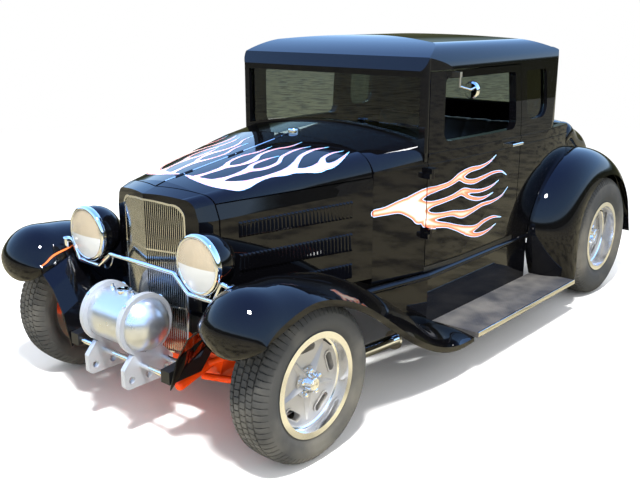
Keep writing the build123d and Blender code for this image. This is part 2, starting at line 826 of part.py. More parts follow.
with BuildPart() as frame:
    with BuildSketch():
        add(rail_plan(-rail_width / 2, rail_width / 2))
        for y in (front_axle_y - 45, -480, 700, rear_axle_y, frame_rear_y - 40):
            with Locations((0, y)):
                Rectangle(2 * rail_front_x if y < -1000 else 2 * rail_rear_x, 70)
    extrude(amount=reach)
    with BuildSketch(Plane.YZ):
        with BuildLine():
            h = rail_height
            Polyline(
                (frame_front_y, horn_z), (-1480, horn_z + 5), (-1400, rail_bottom),
                (1080, rail_bottom), (1200, rail_bottom + kick_up), (1420, rail_bottom + kick_up),
                (frame_rear_y, rail_bottom + 40), (frame_rear_y, rail_top + 40), (1440, rail_top + kick_up),
                (1190, rail_top + kick_up), (1123, rail_top), (-1400, rail_top), (-1480, horn_z + h * 0.8),
                (frame_front_y, horn_z + h * 0.6), close=True,
            )
        make_face()
    extrude(amount=reach, both=True, mode=Mode.INTERSECT)
    # Hangers that carry the rear axle's trailing arms
    for side in (1, -1):
        x = side * trailing_arm_x
        add(slab(x - 26, x + 26, trailing_arm_y - 40, trailing_arm_y - seat_gap, rear_tyre_radius - 36, rail_bottom + 5))
save(frame.part, "frame")

# Front fender crown from the nose's low edge to the running board
front_crown_sections = (
    # lip y, lip z, lean, crown height, inner x, inner height, lip depth
    (-1630, 575, 154, 80, 528, 30, 8),
    (-1628, 580, 110, 84, 512, 18, 8),
    (-1624, 586, 80, 92, 504, 14, 8),
    (-1612, 596, 55, 102, 501, -10, 12),
    (-1585, 614, 30, 112, 500, -24, 18),
    (-1492, 650, 8, 84, 500, -18, 25),
    (-1387, 668, 0, 57, 499, 2, 25),
    (-1235, 640, -15, 52, 496, 26, 25),
    (-1050, 553, -29, 84, 488, 76, 25),
    (-850, 412, -37, 112, 500, 104, 25),
    (-660, 292, -31, 108, 530, 104, 25),
    (-450, 207, -13, 52, 580, 50, 24),
    (-340, 191, -3, 36, 594, 30, 22),
    (-250, 193, 0, 24, 598.6, 24, 20),
)


def front_crown(gap):
    """The left front fender's crown: its sheet, or for a gap the filled form under it grown by the gap."""
    with BuildPart() as crown:
        for y, z, lean, top_h, inner_x, inner_h, lip in front_crown_sections:
            with BuildSketch(across(y, z, lean)):
                with BuildLine():
                    t = fender_sheet
                    edge_x = front_lip_x + gap
                    side = Line((edge_x, -lip - gap), (edge_x, 0))
                    top = ThreePointArc(side @ 1, (crown_x, top_h + gap), (inner_x - gap, inner_h + gap))
                    if gap:
                        inner = Line(top @ 1, (inner_x - gap, inner_h - t - gap))
                        Line(inner @ 1, side @ 0)
                    else:
                        inner = Line(top @ 1, (inner_x, inner_h - t))
                        under = ThreePointArc(inner @ 1, (crown_x, top_h - t), (edge_x - t, 0))
                        hem = Line(under @ 1, (edge_x - t, -lip))
                        Line(hem @ 1, side @ 0)
                make_face()
        loft()
    return crown.part


# Inner skirt from the crown's inner edge down to the rail, open ahead in a swept edge
front_skirt_sections = (
    # y, then x and z of its top, two bends and its foot
    (-1640, (508, 556), (440, 505), (372, 405), 268),
    (-1560, (503, 596), (446, 545), (378, 445), 340),
    (-1450, (502, 642), (450, 572), (388, 482), 392),
    (-1250, (499, 664), (452, 590), (394, 515), 430),
    (-1100, (493, 640), (455, 582), (410, 520), 440),
    (-960, (490, 594), (458, 545), (418, 498), 440),
    (-820, (502, 512), (478, 488), (440, 462), 436),
    (-760, (507, 474), (482, 462), (444, 450), 434),
)


def rail_face(y):
    """The outer face of the left rail at y, plus a seat's gap."""
    share = min(1, max(0, (y - rail_splay_y) / (rail_straight_y - rail_splay_y)))
    return rail_front_x + share * (rail_rear_x - rail_front_x) + rail_width / 2 + seat_gap


with BuildPart() as front_skirt:
    for y, top, bend, low_bend, foot_z in front_skirt_sections:
        run = (top, bend, low_bend, (rail_face(y), foot_z))
        with BuildSketch(Plane.XZ.offset(-y)):
            with BuildLine():
                Polyline(*run, *[(x + fender_sheet, z) for x, z in reversed(run)], close=True)
            make_face()
    loft(ruled=True)
save_pair(front_crown(0) + front_skirt.part, "fender_front")

# Rear fender sections round the wheel, from the running board to the tail
rear_fender_sections = (
    # angle from straight ahead, lip radius, body side radius, inner x
    (-24, 455, 590, 590),
    (8, 392, 628, 590),
    (35, 398, 636, 590),
    (62, 388, 580, 580),
    (90, 378, 520, 560),
    (122, 372, 500, 535),
    (155, 366, 458, 500),
    (186, 402, 420, 470),
)
with BuildPart() as fender_rear:
    for angle, lip_r, body_r, inner_x in rear_fender_sections:
        with BuildSketch(across(rear_axle_y, rear_tyre_radius, 90 - angle)):
            with BuildLine():
                t = fender_sheet
                bulge_x = inner_x + (rear_lip_x - inner_x) * 0.74
                bulge_r = lip_r + (body_r - lip_r) * 0.7
                top = ThreePointArc((rear_lip_x, lip_r), (bulge_x, bulge_r), (inner_x, body_r))
                inner = Line(top @ 1, (inner_x, body_r - t))
                under = ThreePointArc(inner @ 1, (bulge_x - t * 0.7, bulge_r - t * 0.7), (rear_lip_x - t, lip_r))
                Line(under @ 1, top @ 0)
            make_face()
    loft()
    board_room_y = board_rear_y + seat_gap
    foot_z = board_top_z - foot_seat_depth + seat_gap
    add(slab(500, board_outer_x + seat_gap, 500, board_room_y, 50, foot_z), mode=Mode.SUBTRACT)
    add(cab_seat, mode=Mode.SUBTRACT)
    add(deck_seat, mode=Mode.SUBTRACT)
save_pair(fender_rear.part, "fender_rear")

# Running boards
with BuildPart() as running_board:
    with BuildSketch(Plane.XY.offset(board_top_z - board_thickness)):
        with Locations(((board_inner_x + board_outer_x) / 2, (board_front_y + board_rear_y) / 2)):
            Rectangle(board_outer_x - board_inner_x, board_rear_y - board_front_y)
    extrude(amount=board_thickness)
    add(slab(500, reach, foot_seat_y, reach, board_top_z - foot_seat_depth, reach), mode=Mode.SUBTRACT)
both_sides(running_board.part, "running_boards")

# Splash aprons between the body and the running boards, rolled at the top
apron_top_z = body_bottom - seat_gap
apron_front = (body_front_half_width - 74, -760.0)
apron_mid = (board_inner_x - apron_sheet - seat_gap, -300.0)
apron_rear_y = 690.0
apron_low_edge = ((-800.0, 470.0), (-700.0, 420.0), (-606.0, 368.0), (-520.0, 312.0), (-438.0, 252.0), (board_front_y, 190.0))
with BuildPart() as splash_apron:
    with BuildSketch(Plane.XY.offset(apron_bottom_z)):
        with BuildLine():
            x0, y0 = apron_front
            x1, y1 = apron_mid
            t = apron_sheet
            Polyline((x0, y0), (x1, y1), (x1, apron_rear_y), (x1 + t, apron_rear_y), (x1 + t, y1), (x0 + t, y0), (x0, y0))
        make_face()
    extrude(amount=apron_top_z - apron_bottom_z)
    with BuildLine() as roll_route:
        z = apron_top_z - apron_roll_radius
        Polyline((x0 + t / 2, y0, z), (x1 + t / 2, y1, z), (x1 + t / 2, apron_rear_y, z))
    with BuildSketch(Plane(origin=roll_route.line @ 0, z_dir=roll_route.line % 0)):
        Circle(apron_roll_radius)
    sweep(path=roll_route.line, transition=Transition.RIGHT)
    # Below the front fender the apron ends at the crown's inner edge
    with BuildSketch(Plane.YZ):
        with BuildLine():
            Polyline(*apron_low_edge, (board_front_y, 0), (apron_front[1] - 40, 0), close=True)
        make_face()
    extrude(amount=reach, mode=Mode.SUBTRACT)
    add(front_crown(seat_gap), mode=Mode.SUBTRACT)
both_sides(splash_apron.part, "splash_aprons")

# Engine block, seated between the rails, and the radiator ahead of it
with BuildPart() as engine_block:
    with BuildSketch(Plane.XY.offset(rail_bottom)):
        with Locations((0, engine_front_y + engine_length / 2)):
            Rectangle(engine_width, engine_length)
    extrude(amount=engine_height)
save(engine_block.part, "engine_block")

# Radiator core against the shell's back, standing on the front horns' crossmember
with BuildPart() as radiator:
    x = radiator_half_width
    add(slab(-x, x, -reach, engine_front_y - radiator_gap, rail_top + seat_gap, radiator_top_z))
    add(nose_wedge(shell_depth), mode=Mode.INTERSECT)
save(radiator.part, "radiator")

# Wheels and tyres: a rim revolved with its slotted disc, and the tyre seated on it
def make_wheel(centre_x, axle_y, axle_z, rim_width, dish, name):
    """A left wheel: rim, disc with slots, hub bored for its spindle, and cap."""
    rim_half = rim_width / 2
    seat, lip = rim_seat_radius, rim_flange_radius
    outer_x = centre_x + rim_half
    disc_x = outer_x - dish
    with BuildPart() as wheel:
        with BuildSketch(Plane.XY) as section:
            with BuildLine():
                inner_x = centre_x - rim_half
                Polyline(
                    (inner_x, seat - 8), (inner_x, lip), (inner_x + 5, lip), (inner_x + 5, seat),
                    (centre_x - 30, seat), (centre_x - 20, seat - 22),
                    (centre_x + 20, seat - 22), (centre_x + 30, seat),
                    (outer_x - 5, seat), (outer_x - 5, lip), (outer_x, lip), (outer_x, seat - 8),
                    (centre_x + 34, seat - rim_wall), (centre_x + 22, seat - 22 - rim_wall),
                    (centre_x - 22, seat - 22 - rim_wall), (centre_x - 34, seat - rim_wall), close=True,
                )
            make_face()
        revolve(axis=Axis.X)
        # Disc with tangential slots, each with a raised lip, and a tapering ridge between every two
        with BuildSketch(Plane.YZ.offset(disc_x - disc_thickness)):
            Circle(seat - rim_wall + 1)
        extrude(amount=disc_thickness)
        with BuildSketch(Plane.YZ.offset(disc_x)):
            with PolarLocations(slot_circle, slot_count, 90):
                SlotOverall(slot_length + 2 * slot_lip, slot_width + 2 * slot_lip, 90)
        extrude(amount=slot_lip)
        with BuildSketch(Plane.YZ.offset(disc_x - disc_thickness)):
            with PolarLocations(slot_circle, slot_count, 90):
                SlotOverall(slot_length, slot_width, 90)
        extrude(amount=disc_thickness + slot_lip, mode=Mode.SUBTRACT)
        for i in range(slot_count):
            turn = Rot((i + 0.5) * 360 / slot_count, 0, 0)
            with BuildPart(mode=Mode.PRIVATE) as ridge_blank:
                for r, w, h in wheel_ridge:
                    with BuildSketch(Plane.XY.offset(r)):
                        with BuildLine():
                            Polyline((disc_x - 2, -w / 2), (disc_x - 2, w / 2), (disc_x + h, 0), close=True)
                        make_face()
                loft(ruled=True)
            add(turn * ridge_blank.part)
        with BuildSketch(Plane.YZ.offset(disc_x - disc_thickness - hub_depth)):
            Circle(hub_radius)
        extrude(amount=disc_thickness + hub_depth + hub_face)
        with BuildSketch(Plane.YZ.offset(disc_x + hub_face)):
            Circle(hub_cap_radius)
        extrude(amount=cap_length, taper=20)
        with BuildSketch(Plane.YZ.offset(disc_x - disc_thickness - hub_depth)):
            Circle(spindle_radius + pin_gap)
        extrude(amount=disc_thickness + hub_depth + hub_face, mode=Mode.SUBTRACT)
    with BuildPart() as tyre:
        half = (front_tyre_width if name == "front" else rear_tyre_width) / 2
        radius = front_tyre_radius if name == "front" else rear_tyre_radius
        with BuildSketch(Plane.XY):
            with BuildLine():
                r0 = seat + seat_gap
                bead_x = rim_half - 5 - seat_gap
                left, right = centre_x - half, centre_x + half
                wall_r = (lip + radius) / 2
                bead = Line((centre_x - bead_x, r0), (centre_x - bead_x, lip + 4))
                side = ThreePointArc(bead @ 1, (left, wall_r), (left + 22, radius - 16))
                shoulder = ThreePointArc(side @ 1, (left + 30, radius - tread_crown), (left + 44, radius - 3))
                tread = ThreePointArc(shoulder @ 1, (centre_x, radius), (right - 44, radius - 3))
                shoulder = ThreePointArc(tread @ 1, (right - 30, radius - tread_crown), (right - 22, radius - 16))
                side = ThreePointArc(shoulder @ 1, (right, wall_r), (centre_x + bead_x, lip + 4))
                bead = Line(side @ 1, (centre_x + bead_x, r0))
                Line(bead @ 1, (centre_x - bead_x, r0))
            make_face()
        revolve(axis=Axis.X)
    place = Location((0, axle_y, axle_z))
    save_pair(wheel.part.moved(place), "wheel_" + name)
    save_pair(tyre.part.moved(place), "tyre_" + name)


make_wheel(front_track / 2, -wheelbase / 2, front_tyre_radius, front_rim_width, front_dish, "front")
make_wheel(rear_track / 2, wheelbase / 2, rear_tyre_radius, rear_rim_width, rear_dish, "rear")

# Steering knuckles: kingpin, upright and spindle
kingpin_x = 590.0
kingpin_radius = 14.0
kingpin_height = 170.0
arm_eye_height = 34.0
arm_eye_radius = 26.0
front_hub_inner_x = front_track / 2 + front_rim_width / 2 - front_dish - disc_thickness - hub_depth
with BuildPart() as knuckle:
    low = front_tyre_radius - kingpin_height / 2
    with BuildSketch(Plane.XY.offset(low)):
        with Locations((kingpin_x, front_axle_y)):
            Circle(kingpin_radius)
    extrude(amount=kingpin_height)
    with BuildSketch(Plane.XY.offset(low + arm_eye_height + 2)):
        with Locations((kingpin_x, front_axle_y)):
            Circle(arm_eye_radius + 2)
    extrude(amount=kingpin_height - 2 * arm_eye_height - 4)
    with BuildSketch(Plane.YZ.offset(kingpin_x)):
        with Locations((front_axle_y, front_tyre_radius)):
            Circle(spindle_radius)
    extrude(amount=front_hub_inner_x + 60 - kingpin_x)
    # Brake drum's fixed plate
    with BuildSketch(Plane.YZ.offset(front_hub_inner_x - 34)):
        with Locations((front_axle_y, front_tyre_radius)):
            Circle(brake_radius)
    extrude(amount=30)
save_pair(knuckle.part, "knuckle")



def tube(start, end, radius):
    """A round tube between two points."""
    run = Vector(*end) - Vector(*start)
    with BuildSketch(Plane(origin=start, z_dir=run)) as section:
        Circle(radius)
    return extrude(section.sketch, amount=run.length, mode=Mode.PRIVATE)


# Front suspension: a crossmember under the rails, tubular lower arms and plate upper arms round the kingpins
arm_thickness = 24.0
arm_tube_radius = 14.0
pivot_tube_radius = 22.0
pivot_front = (271.0, -1545.0, 241.0)
pivot_rear = (283.0, -1390.0, 294.0)
upper_foot_x = 360.0
upper_span = 70.0
lower_arm_z = front_tyre_radius - kingpin_height / 2 + 5
upper_arm_z = front_tyre_radius + kingpin_height / 2 - arm_eye_height + 5
lower_mid_z = lower_arm_z + arm_thickness / 2
pad_top_z = lower_mid_z + arm_tube_radius
with BuildPart() as front_suspension:
    with BuildSketch(Plane.XY.offset(lower_arm_z)):
        with Locations((kingpin_x, front_axle_y)):
            Circle(arm_eye_radius)
    extrude(amount=arm_thickness)
    eye_x = kingpin_x - arm_eye_radius + 6
    add(tube((eye_x, front_axle_y - 12, lower_mid_z), (286, -1440, lower_mid_z + 2), arm_tube_radius))
    add(tube((eye_x, front_axle_y + 12, lower_mid_z), (335, front_axle_y + 58, lower_mid_z), arm_tube_radius))
    # Pad that carries the damper between the lower arm's tubes
    pad_x = front_damper_x
    add(slab(pad_x - 30, pad_x + 30, front_axle_y - 56, front_axle_y + 38, pad_top_z - 18, pad_top_z))
    # Pivot tube under the frame horn, with its rounded end, and the link from it to the upper arm
    add(tube(pivot_front, pivot_rear, pivot_tube_radius))
    with Locations(pivot_front):
        Sphere(pivot_tube_radius)
    add(tube((292, -1408, 292), (452, -1352, upper_arm_z + arm_thickness / 2), arm_tube_radius))
    with BuildSketch(Plane.XY.offset(upper_arm_z)):
        with BuildLine():
            Polyline(
                (kingpin_x, front_axle_y - 20), (upper_foot_x, front_axle_y - upper_span),
                (upper_foot_x, front_axle_y - upper_span + 44), (kingpin_x - 60, front_axle_y),
                (upper_foot_x, front_axle_y + upper_span - 44), (upper_foot_x, front_axle_y + upper_span),
                (kingpin_x, front_axle_y + 20), close=True,
            )
        make_face()
        with Locations((kingpin_x, front_axle_y)):
            Circle(arm_eye_radius)
    extrude(amount=arm_thickness)
    with BuildSketch(Plane.XY.offset(lower_arm_z)):
        with Locations((kingpin_x, front_axle_y)):
            Circle(kingpin_radius + pin_gap)
    extrude(amount=kingpin_height, mode=Mode.SUBTRACT)
    mirror(about=Plane.YZ)
    with BuildSketch(Plane.XZ.offset(-front_axle_y - 80)):
        with BuildLine():
            Polyline(
                (0, 200), (345, lower_arm_z - 6), (345, lower_arm_z + arm_thickness + 6), (372, upper_arm_z - 6),
                (372, rail_bottom - seat_gap), (0, rail_bottom - seat_gap),
            )
            mirror(about=Plane.YZ)
        make_face()
    extrude(amount=160)
save(front_suspension.part, "front_suspension")

# Rear axle: housing, differential and trailing arms to the frame's crossmember
housing_radius = 38.0
diff_radius = 125.0
rear_hub_inner_x = rear_track / 2 + rear_rim_width / 2 - rear_dish - disc_thickness - hub_depth
with BuildPart() as rear_axle:
    with BuildSketch(Plane.YZ.offset(-rear_hub_inner_x + 34)):
        with Locations((rear_axle_y, rear_tyre_radius)):
            Circle(housing_radius)
    extrude(amount=2 * (rear_hub_inner_x - 34))
    with BuildSketch(Plane.YZ.offset(-rear_hub_inner_x - 60)):
        with Locations((rear_axle_y, rear_tyre_radius)):
            Circle(spindle_radius)
    extrude(amount=2 * (rear_hub_inner_x + 60))
    for side in (1, -1):
        with BuildSketch(Plane.YZ.offset(side * (rear_hub_inner_x - 19) - 15)):
            with Locations((rear_axle_y, rear_tyre_radius)):
                Circle(brake_radius)
        extrude(amount=30)
    with Locations((0, rear_axle_y, rear_tyre_radius)):
        Sphere(diff_radius)
    for side in (1, -1):
        with BuildSketch(Plane.XZ.offset(-trailing_arm_y)):
            with Locations((side * trailing_arm_x, rear_tyre_radius - 10)):
                Rectangle(34, 44)
        extrude(amount=-(rear_axle_y - trailing_arm_y))
save(rear_axle.part, "rear_axle")

# Coil-over dampers between the axles' arms and the rails
with BuildPart() as dampers:
    for side in (1, -1):
        with BuildSketch(Plane.XY.offset(pad_top_z + seat_gap)):
            with Locations((side * front_damper_x, front_axle_y)):
                Circle(damper_radius)
        extrude(amount=upper_arm_z - pad_top_z - 2 * seat_gap)
        with BuildSketch(Plane.XY.offset(rear_tyre_radius)):
            with Locations((side * rear_damper_x, rear_axle_y)):
                Circle(damper_radius)
        extrude(amount=rail_bottom + kick_up - rear_tyre_radius - seat_gap)
    with BuildSketch(Plane.YZ):
        with Locations((rear_axle_y, rear_tyre_radius)):
            Circle(housing_radius + seat_gap)
    extrude(amount=reach, both=True, mode=Mode.SUBTRACT)
save(dampers.part, "dampers")

# Exhaust dump pipes with bolted flanges, one each side
pipe_radius = 28.0
with BuildPart() as exhaust:
    with BuildLine() as route:
        FilletPolyline(
            (engine_width / 2 + seat_gap, -900, 520), (285, -900, 520), (285, -900, 225),
            (505, -760, 168), (525, -470, 164), radius=40,
        )
    with BuildSketch(Plane(origin=route.line @ 0, z_dir=route.line % 0)):
        Circle(pipe_radius)
    sweep(path=route.line)
    with BuildSketch(Plane(origin=route.line @ 1, z_dir=route.line % 1)):
        Circle(46)
    extrude(amount=14)
both_sides(exhaust.part, "exhaust")

# Cab floor and door sills
floor_level = slab(-reach, reach, -reach, reach, body_bottom, body_bottom + floor_thickness)
cab_room = cab_form(body_wall + seat_gap, roof_wall) & slab(-reach, reach, cowl_rear_y + seat_gap, reach, 0, reach)
sill_room = slab(-reach, reach, cowl_rear_y + seat_gap, quarter_front_y - seat_gap, body_bottom, door_bottom - panel_gap)
tub_room = wheel_recess(rear_tyre_radius + arch_gap + tub_wall + seat_gap, recess_inner_x - tub_wall - seat_gap)
with BuildPart() as floor:
    add(cowl_room(seat_gap) & floor_level)
    add(cab_room & floor_level)
    add(tub_room, mode=Mode.SUBTRACT)
    add(cab_shell & sill_room)
save(floor.part, "floor")

# Luggage floor over the kicked-up rails
luggage_level = slab(-reach, reach, cab_rear_y, reach, luggage_floor_z, luggage_floor_z + floor_thickness)
with BuildPart() as luggage_floor:
    add(deck_form(body_wall + seat_gap) & luggage_level)
    add(tub_room, mode=Mode.SUBTRACT)
save(luggage_floor.part, "luggage_floor")

# Bench seat
floor_top = body_bottom + floor_thickness
with BuildPart() as seat:
    with BuildSketch(Plane.YZ.offset(-seat_half_width)):
        with BuildLine():
            y0, z0 = seat_front_y, floor_top + seat_gap
            Polyline(
                (y0 + 30, z0), (y0, z0 + 120), (y0, z0 + seat_height - 40), (y0 + 40, z0 + seat_height),
                (y0 + seat_depth, z0 + seat_height - 40), (y0 + seat_depth + 110, z0 + 620),
                (y0 + seat_depth + 220, z0 + 610), (y0 + seat_depth + 130, z0), close=True,
            )
        make_face()
    extrude(amount=2 * seat_half_width)
save(seat.part, "seat")

# Dash panel under the windscreen
dash_rear_y = cowl_rear_y - dash_setback
with BuildPart() as dashboard:
    with BuildSketch(Plane.XZ.offset(-dash_rear_y)):
        with Locations((0, dash_bottom_z + 200)):
            Rectangle(2 * body_front_half_width, 400)
    extrude(amount=dash_thickness)
    add(cowl_room(seat_gap), mode=Mode.INTERSECT)
save(dashboard.part, "dashboard")

# Steering column, from the firewall past a bracket under the dash, and the wheel on its shaft
tilt = radians(column_tilt)
wheel_centre = (driver_x, steering_wheel_y, steering_wheel_z)
column_axis = Plane(origin=wheel_centre, x_dir=(1, 0, 0), z_dir=(0, cos(tilt), sin(tilt)))
firewall_rear_y = cowl_front_y + firewall_thickness
column_length = (steering_wheel_y - firewall_rear_y) / cos(tilt)
dash_z = steering_wheel_z - (steering_wheel_y - dash_rear_y) * tan(tilt)
with BuildPart() as steering_column:
    with BuildSketch(column_axis.offset(-column_length - 40)):
        Circle(column_radius)
    extrude(amount=column_length)
    add(slab(driver_x - 18, driver_x + 18, dash_rear_y - dash_thickness, dash_rear_y, dash_z, dash_bottom_z - seat_gap))
    with BuildSketch(column_axis.offset(-160)):
        Circle(shaft_radius + pin_gap)
    extrude(amount=160, mode=Mode.SUBTRACT)
    add(slab(-reach, reach, firewall_rear_y + seat_gap, reach, 0, reach), mode=Mode.INTERSECT)
save(steering_column.part, "steering_column")
with BuildPart() as steering_wheel:
    with BuildSketch(column_axis.offset(-150)):
        Circle(shaft_radius)
    extrude(amount=150)
    with BuildSketch(column_axis.offset(-6)):
        Circle(30)
        for turn in (90, 210, 330):
            with Locations(Rot(0, 0, turn) * Pos(steering_wheel_radius / 2, 0)):
                Rectangle(steering_wheel_radius, 20)
    extrude(amount=8)
    with BuildSketch(Plane(origin=wheel_centre, x_dir=column_axis.x_dir, z_dir=column_axis.y_dir)):
        with Locations((steering_wheel_radius, 0)):
            Circle(steering_rim_radius)
    revolve(axis=Axis(wheel_centre, column_axis.z_dir))
save(steering_wheel.part, "steering_wheel")

# Fixed glass: windscreen, quarter windows and rear window; the door glass is wound down
pane_inset = 18.0
pane_shell = cab_form(pane_inset, pane_inset) - cab_form(pane_inset + glass_thickness, pane_inset + glass_thickness)
quarter_pane = window_cut(
    quarter_window_sill_z + seat_gap, window_head_z - seat_gap, quarter_window_front_y + seat_gap,
    quarter_window_rear_y - seat_gap, 70 - seat_gap, reach,
)
with BuildPart() as glass:
    with BuildSketch(Plane.XZ.offset(-windscreen_y - glass_thickness / 2)):
        with BuildLine():
            w = body_front_half_width - 36 - seat_gap
            low = Line((-w, 1093), (-w, window_head_z + 10 - seat_gap))
            head = Line(low @ 1, (w, window_head_z + 10 - seat_gap))
            right = Line(head @ 1, (w, 1093))
            ThreePointArc(right @ 1, (0, cowl_top_rear_z + 8 + seat_gap), low @ 0)
        make_face()
    extrude(amount=glass_thickness)
    add(pane_shell & quarter_pane)
    add(pane_shell & rear_window_room(seat_gap))
save(glass.part, "window_glass")


def dome(rim, pole):
    """A point halfway along the arc from a rim point to a pole on the axis, square to it there."""
    sag = pole[1] - rim[1]
    radius = (rim[0] ** 2 + sag ** 2) / (2 * sag)
    half_angle = asin(min(1, abs(rim[0] / radius))) / 2
    return (radius * sin(half_angle), pole[1] - radius + radius * cos(half_angle))


# Headlamps: bowls with their rims, and their lenses. Profiles are radius against depth
with BuildPart() as headlamp:
    with BuildSketch(Plane.XY):
        with BuildLine():
            r = lamp_rim_radius
            bowl = (r - 9, 26)
            end = (0, lamp_depth)
            Polyline((0, 12), (r - 16, 12), (r - 16, 0), (r, 0), (r, 26), bowl)
            ThreePointArc(bowl, dome(bowl, end), end)
            Line(end, (0, 12))
        make_face()
    revolve(axis=Axis.Y)
headlamp_place = Location((lamp_x, lamp_y - 12, lamp_z))
both_sides(headlamp.part.moved(headlamp_place), "headlamps")
with BuildPart() as lens:
    with BuildSketch(Plane.XY):
        with BuildLine():
            r = lamp_rim_radius - 16 - seat_gap
            rim = (r, 4)
            pole = (0, -10)
            mid = dome((r, -4), (0, 10))
            Polyline(pole, (0, 12 - seat_gap), (r, 12 - seat_gap), rim)
            ThreePointArc(rim, (mid[0], -mid[1]), pole)
        make_face()
    revolve(axis=Axis.Y)
both_sides(lens.part.moved(headlamp_place), "headlamp_lenses")

# Lamp bar: level across the grille, dipping under each lamp, then over to a foot on the fender
bar_y = lamp_y + 6
dip_z = lamp_z - lamp_rim_radius - lamp_bar_radius - seat_gap
with BuildPart() as lamp_bar:
    with BuildLine(Plane.XZ.offset(-bar_y)) as bar_route:
        FilletPolyline(
            (0, lamp_bar_z), (205, lamp_bar_z), (290, dip_z), (432, dip_z), (480, 690), (lamp_foot_x, lamp_foot_z),
            radius=12,
        )
    with BuildSketch(Plane.YZ):
        with Locations((bar_y, lamp_bar_z)):
            Circle(lamp_bar_radius)
    sweep(path=bar_route.line)
    with BuildSketch(Plane.XY.offset(lamp_foot_z - 50)):
        with Locations((lamp_foot_x, bar_y)):
            Circle(lamp_foot_radius)
    extrude(amount=50 + lamp_bar_radius + 4)
    fillet(lamp_bar.faces().sort_by(Axis.Z)[-1].edges(), 8)
    add(front_crown(seat_gap), mode=Mode.SUBTRACT)
    mirror(about=Plane.YZ)
save(lamp_bar.part, "lamp_bar")

# Front tank with domed ends, and its ring brackets standing on the spreader bars
with BuildPart() as front_tank:
    with BuildSketch(Plane.XY):
        with BuildLine():
            half = tank_ring_x + tank_ring_width / 2 + 2
            rim = (tank_radius, half)
            pole = (0, half + 70)
            Polyline(pole, (0, 0), (tank_radius, 0), rim)
            ThreePointArc(rim, dome(rim, pole), pole)
        make_face()
    revolve(axis=Axis.Y)
    mirror(about=Plane.XZ)
tank_place = Location((0, tank_y, tank_z), (0, 0, 90))
cap_bottom = tank_z + tank_radius - 4
with BuildPart() as tank_cap:
    with BuildSketch(Plane.XY.offset(cap_bottom)):
        with Locations((0, tank_y)):
            Circle(30)
    extrude(amount=16)
save(Part() + [front_tank.part.moved(tank_place), tank_cap.part], "front_tank")
with BuildPart() as tank_brackets:
    for side in (1, -1):
        with BuildSketch(Plane.YZ.offset(side * tank_ring_x - tank_ring_width / 2)):
            with Locations((tank_y, tank_z)):
                Circle(tank_ring_radius)
            with BuildLine():
                low = bracket_foot_z
                high = bracket_foot_z + bracket_foot_height
                Polyline(
                    (tank_y - 118, low + 14), (tank_y - 118, high), (tank_y - 74, high + 50), (tank_y + 74, high + 50),
                    (tank_y + 122, high), (tank_y + 122, low + 14), (tank_y + 108, low), (tank_y - 104, low), close=True,
                )
            make_face()
            with Locations((tank_y, tank_z)):
                Circle(tank_radius + seat_gap, mode=Mode.SUBTRACT)
            with Locations(*[(tank_y + step, bracket_foot_z + 36) for step in (-84, 0, 84)]):
                Circle(15, mode=Mode.SUBTRACT)
            with Locations(*[(y, spreader_z) for y in spreader_ys]):
                Circle(spreader_radius + pin_gap, mode=Mode.SUBTRACT)
        extrude(amount=tank_ring_width)
save(tank_brackets.part, "tank_brackets")

# Spreader bars between the frame horns, through the tank brackets' feet
with BuildPart() as spreader_bars:
    for y in spreader_ys:
        with BuildSketch(Plane.YZ.offset(-rail_front_x + rail_width / 2 + seat_gap)):
            with Locations((y, spreader_z)):
                Circle(spreader_radius)
        extrude(amount=2 * (rail_front_x - rail_width / 2 - seat_gap))
save(spreader_bars.part, "spreader_bars")

# Round mirror on a bent arm from a clamp on the left door's upper edge
with BuildPart() as door_mirror:
    add(slab(560, mirror_x + 5, mirror_clamp_y - 9, mirror_clamp_y + 9, 1372, 1396))
    with BuildLine(Plane.YZ.offset(mirror_x)) as mirror_route:
        Polyline((mirror_clamp_y, 1384), (mirror_clamp_y, 1330), (mirror_y + 4, mirror_z))
    with BuildSketch(Plane.XY.offset(1384)):
        with Locations((mirror_x, mirror_clamp_y)):
            Circle(5)
    sweep(path=mirror_route.line, transition=Transition.RIGHT)
    with BuildSketch(Plane.XZ.offset(-mirror_y - 8)):
        with Locations((mirror_x, mirror_z)):
            Circle(mirror_radius)
    extrude(amount=8)
    with BuildSketch(Plane.XZ.offset(-mirror_y)):
        with Locations((mirror_x, mirror_z)):
            Circle(mirror_radius)
    extrude(amount=8, taper=40)
    add(cab_seat, mode=Mode.SUBTRACT)
save(door_mirror.part, "door_mirror")

# Door handles: a bar on two feet near each door's rear edge
with BuildPart() as door_handle:
    for y in (handle_y - handle_length / 2 + 8, handle_y + handle_length / 2 - 26):
        add(slab(560, cab_half_width + 24, y - 7, y + 7, handle_z - 7, handle_z + 7))
    with BuildSketch(Plane.XZ.offset(-handle_y - handle_length / 2)):
        with Locations((cab_half_width + 24, handle_z)):
            RectangleRounded(12, 16, 5)
    extrude(amount=handle_length)
    add(cab_seat, mode=Mode.SUBTRACT)
save_pair(door_handle.part, "door_handle")

# Tail lamps on the deck's tail
with BuildPart() as tail_lamps:
    with BuildSketch(Plane.XZ.offset(-deck_rear_y + 60)):
        with Locations((tail_lamp_x, tail_lamp_z)):
            Circle(tail_lamp_radius)
    extrude(amount=-60 - tail_lamp_proud)
    fillet(tail_lamps.edges().group_by(Axis.Y)[-1], 5)
    add(deck_seat, mode=Mode.SUBTRACT)
    mirror(about=Plane.YZ)
save(tail_lamps.part, "tail_lamps")

# Plate holder under the tail, with four holes for a plate
plate_face_y = deck_sections[-1][0] + seat_gap
with BuildPart() as plate_holder:
    with BuildSketch(Plane.XZ.offset(-plate_face_y)):
        with Locations((0, plate_centre_z)):
            RectangleRounded(plate_hole_x + 50, plate_hole_z + 40, 14)
            with GridLocations(plate_hole_x, plate_hole_z, 2, 2):
                Circle(plate_hole_radius, mode=Mode.SUBTRACT)
    extrude(amount=-4)
save(plate_holder.part, "plate_holder")
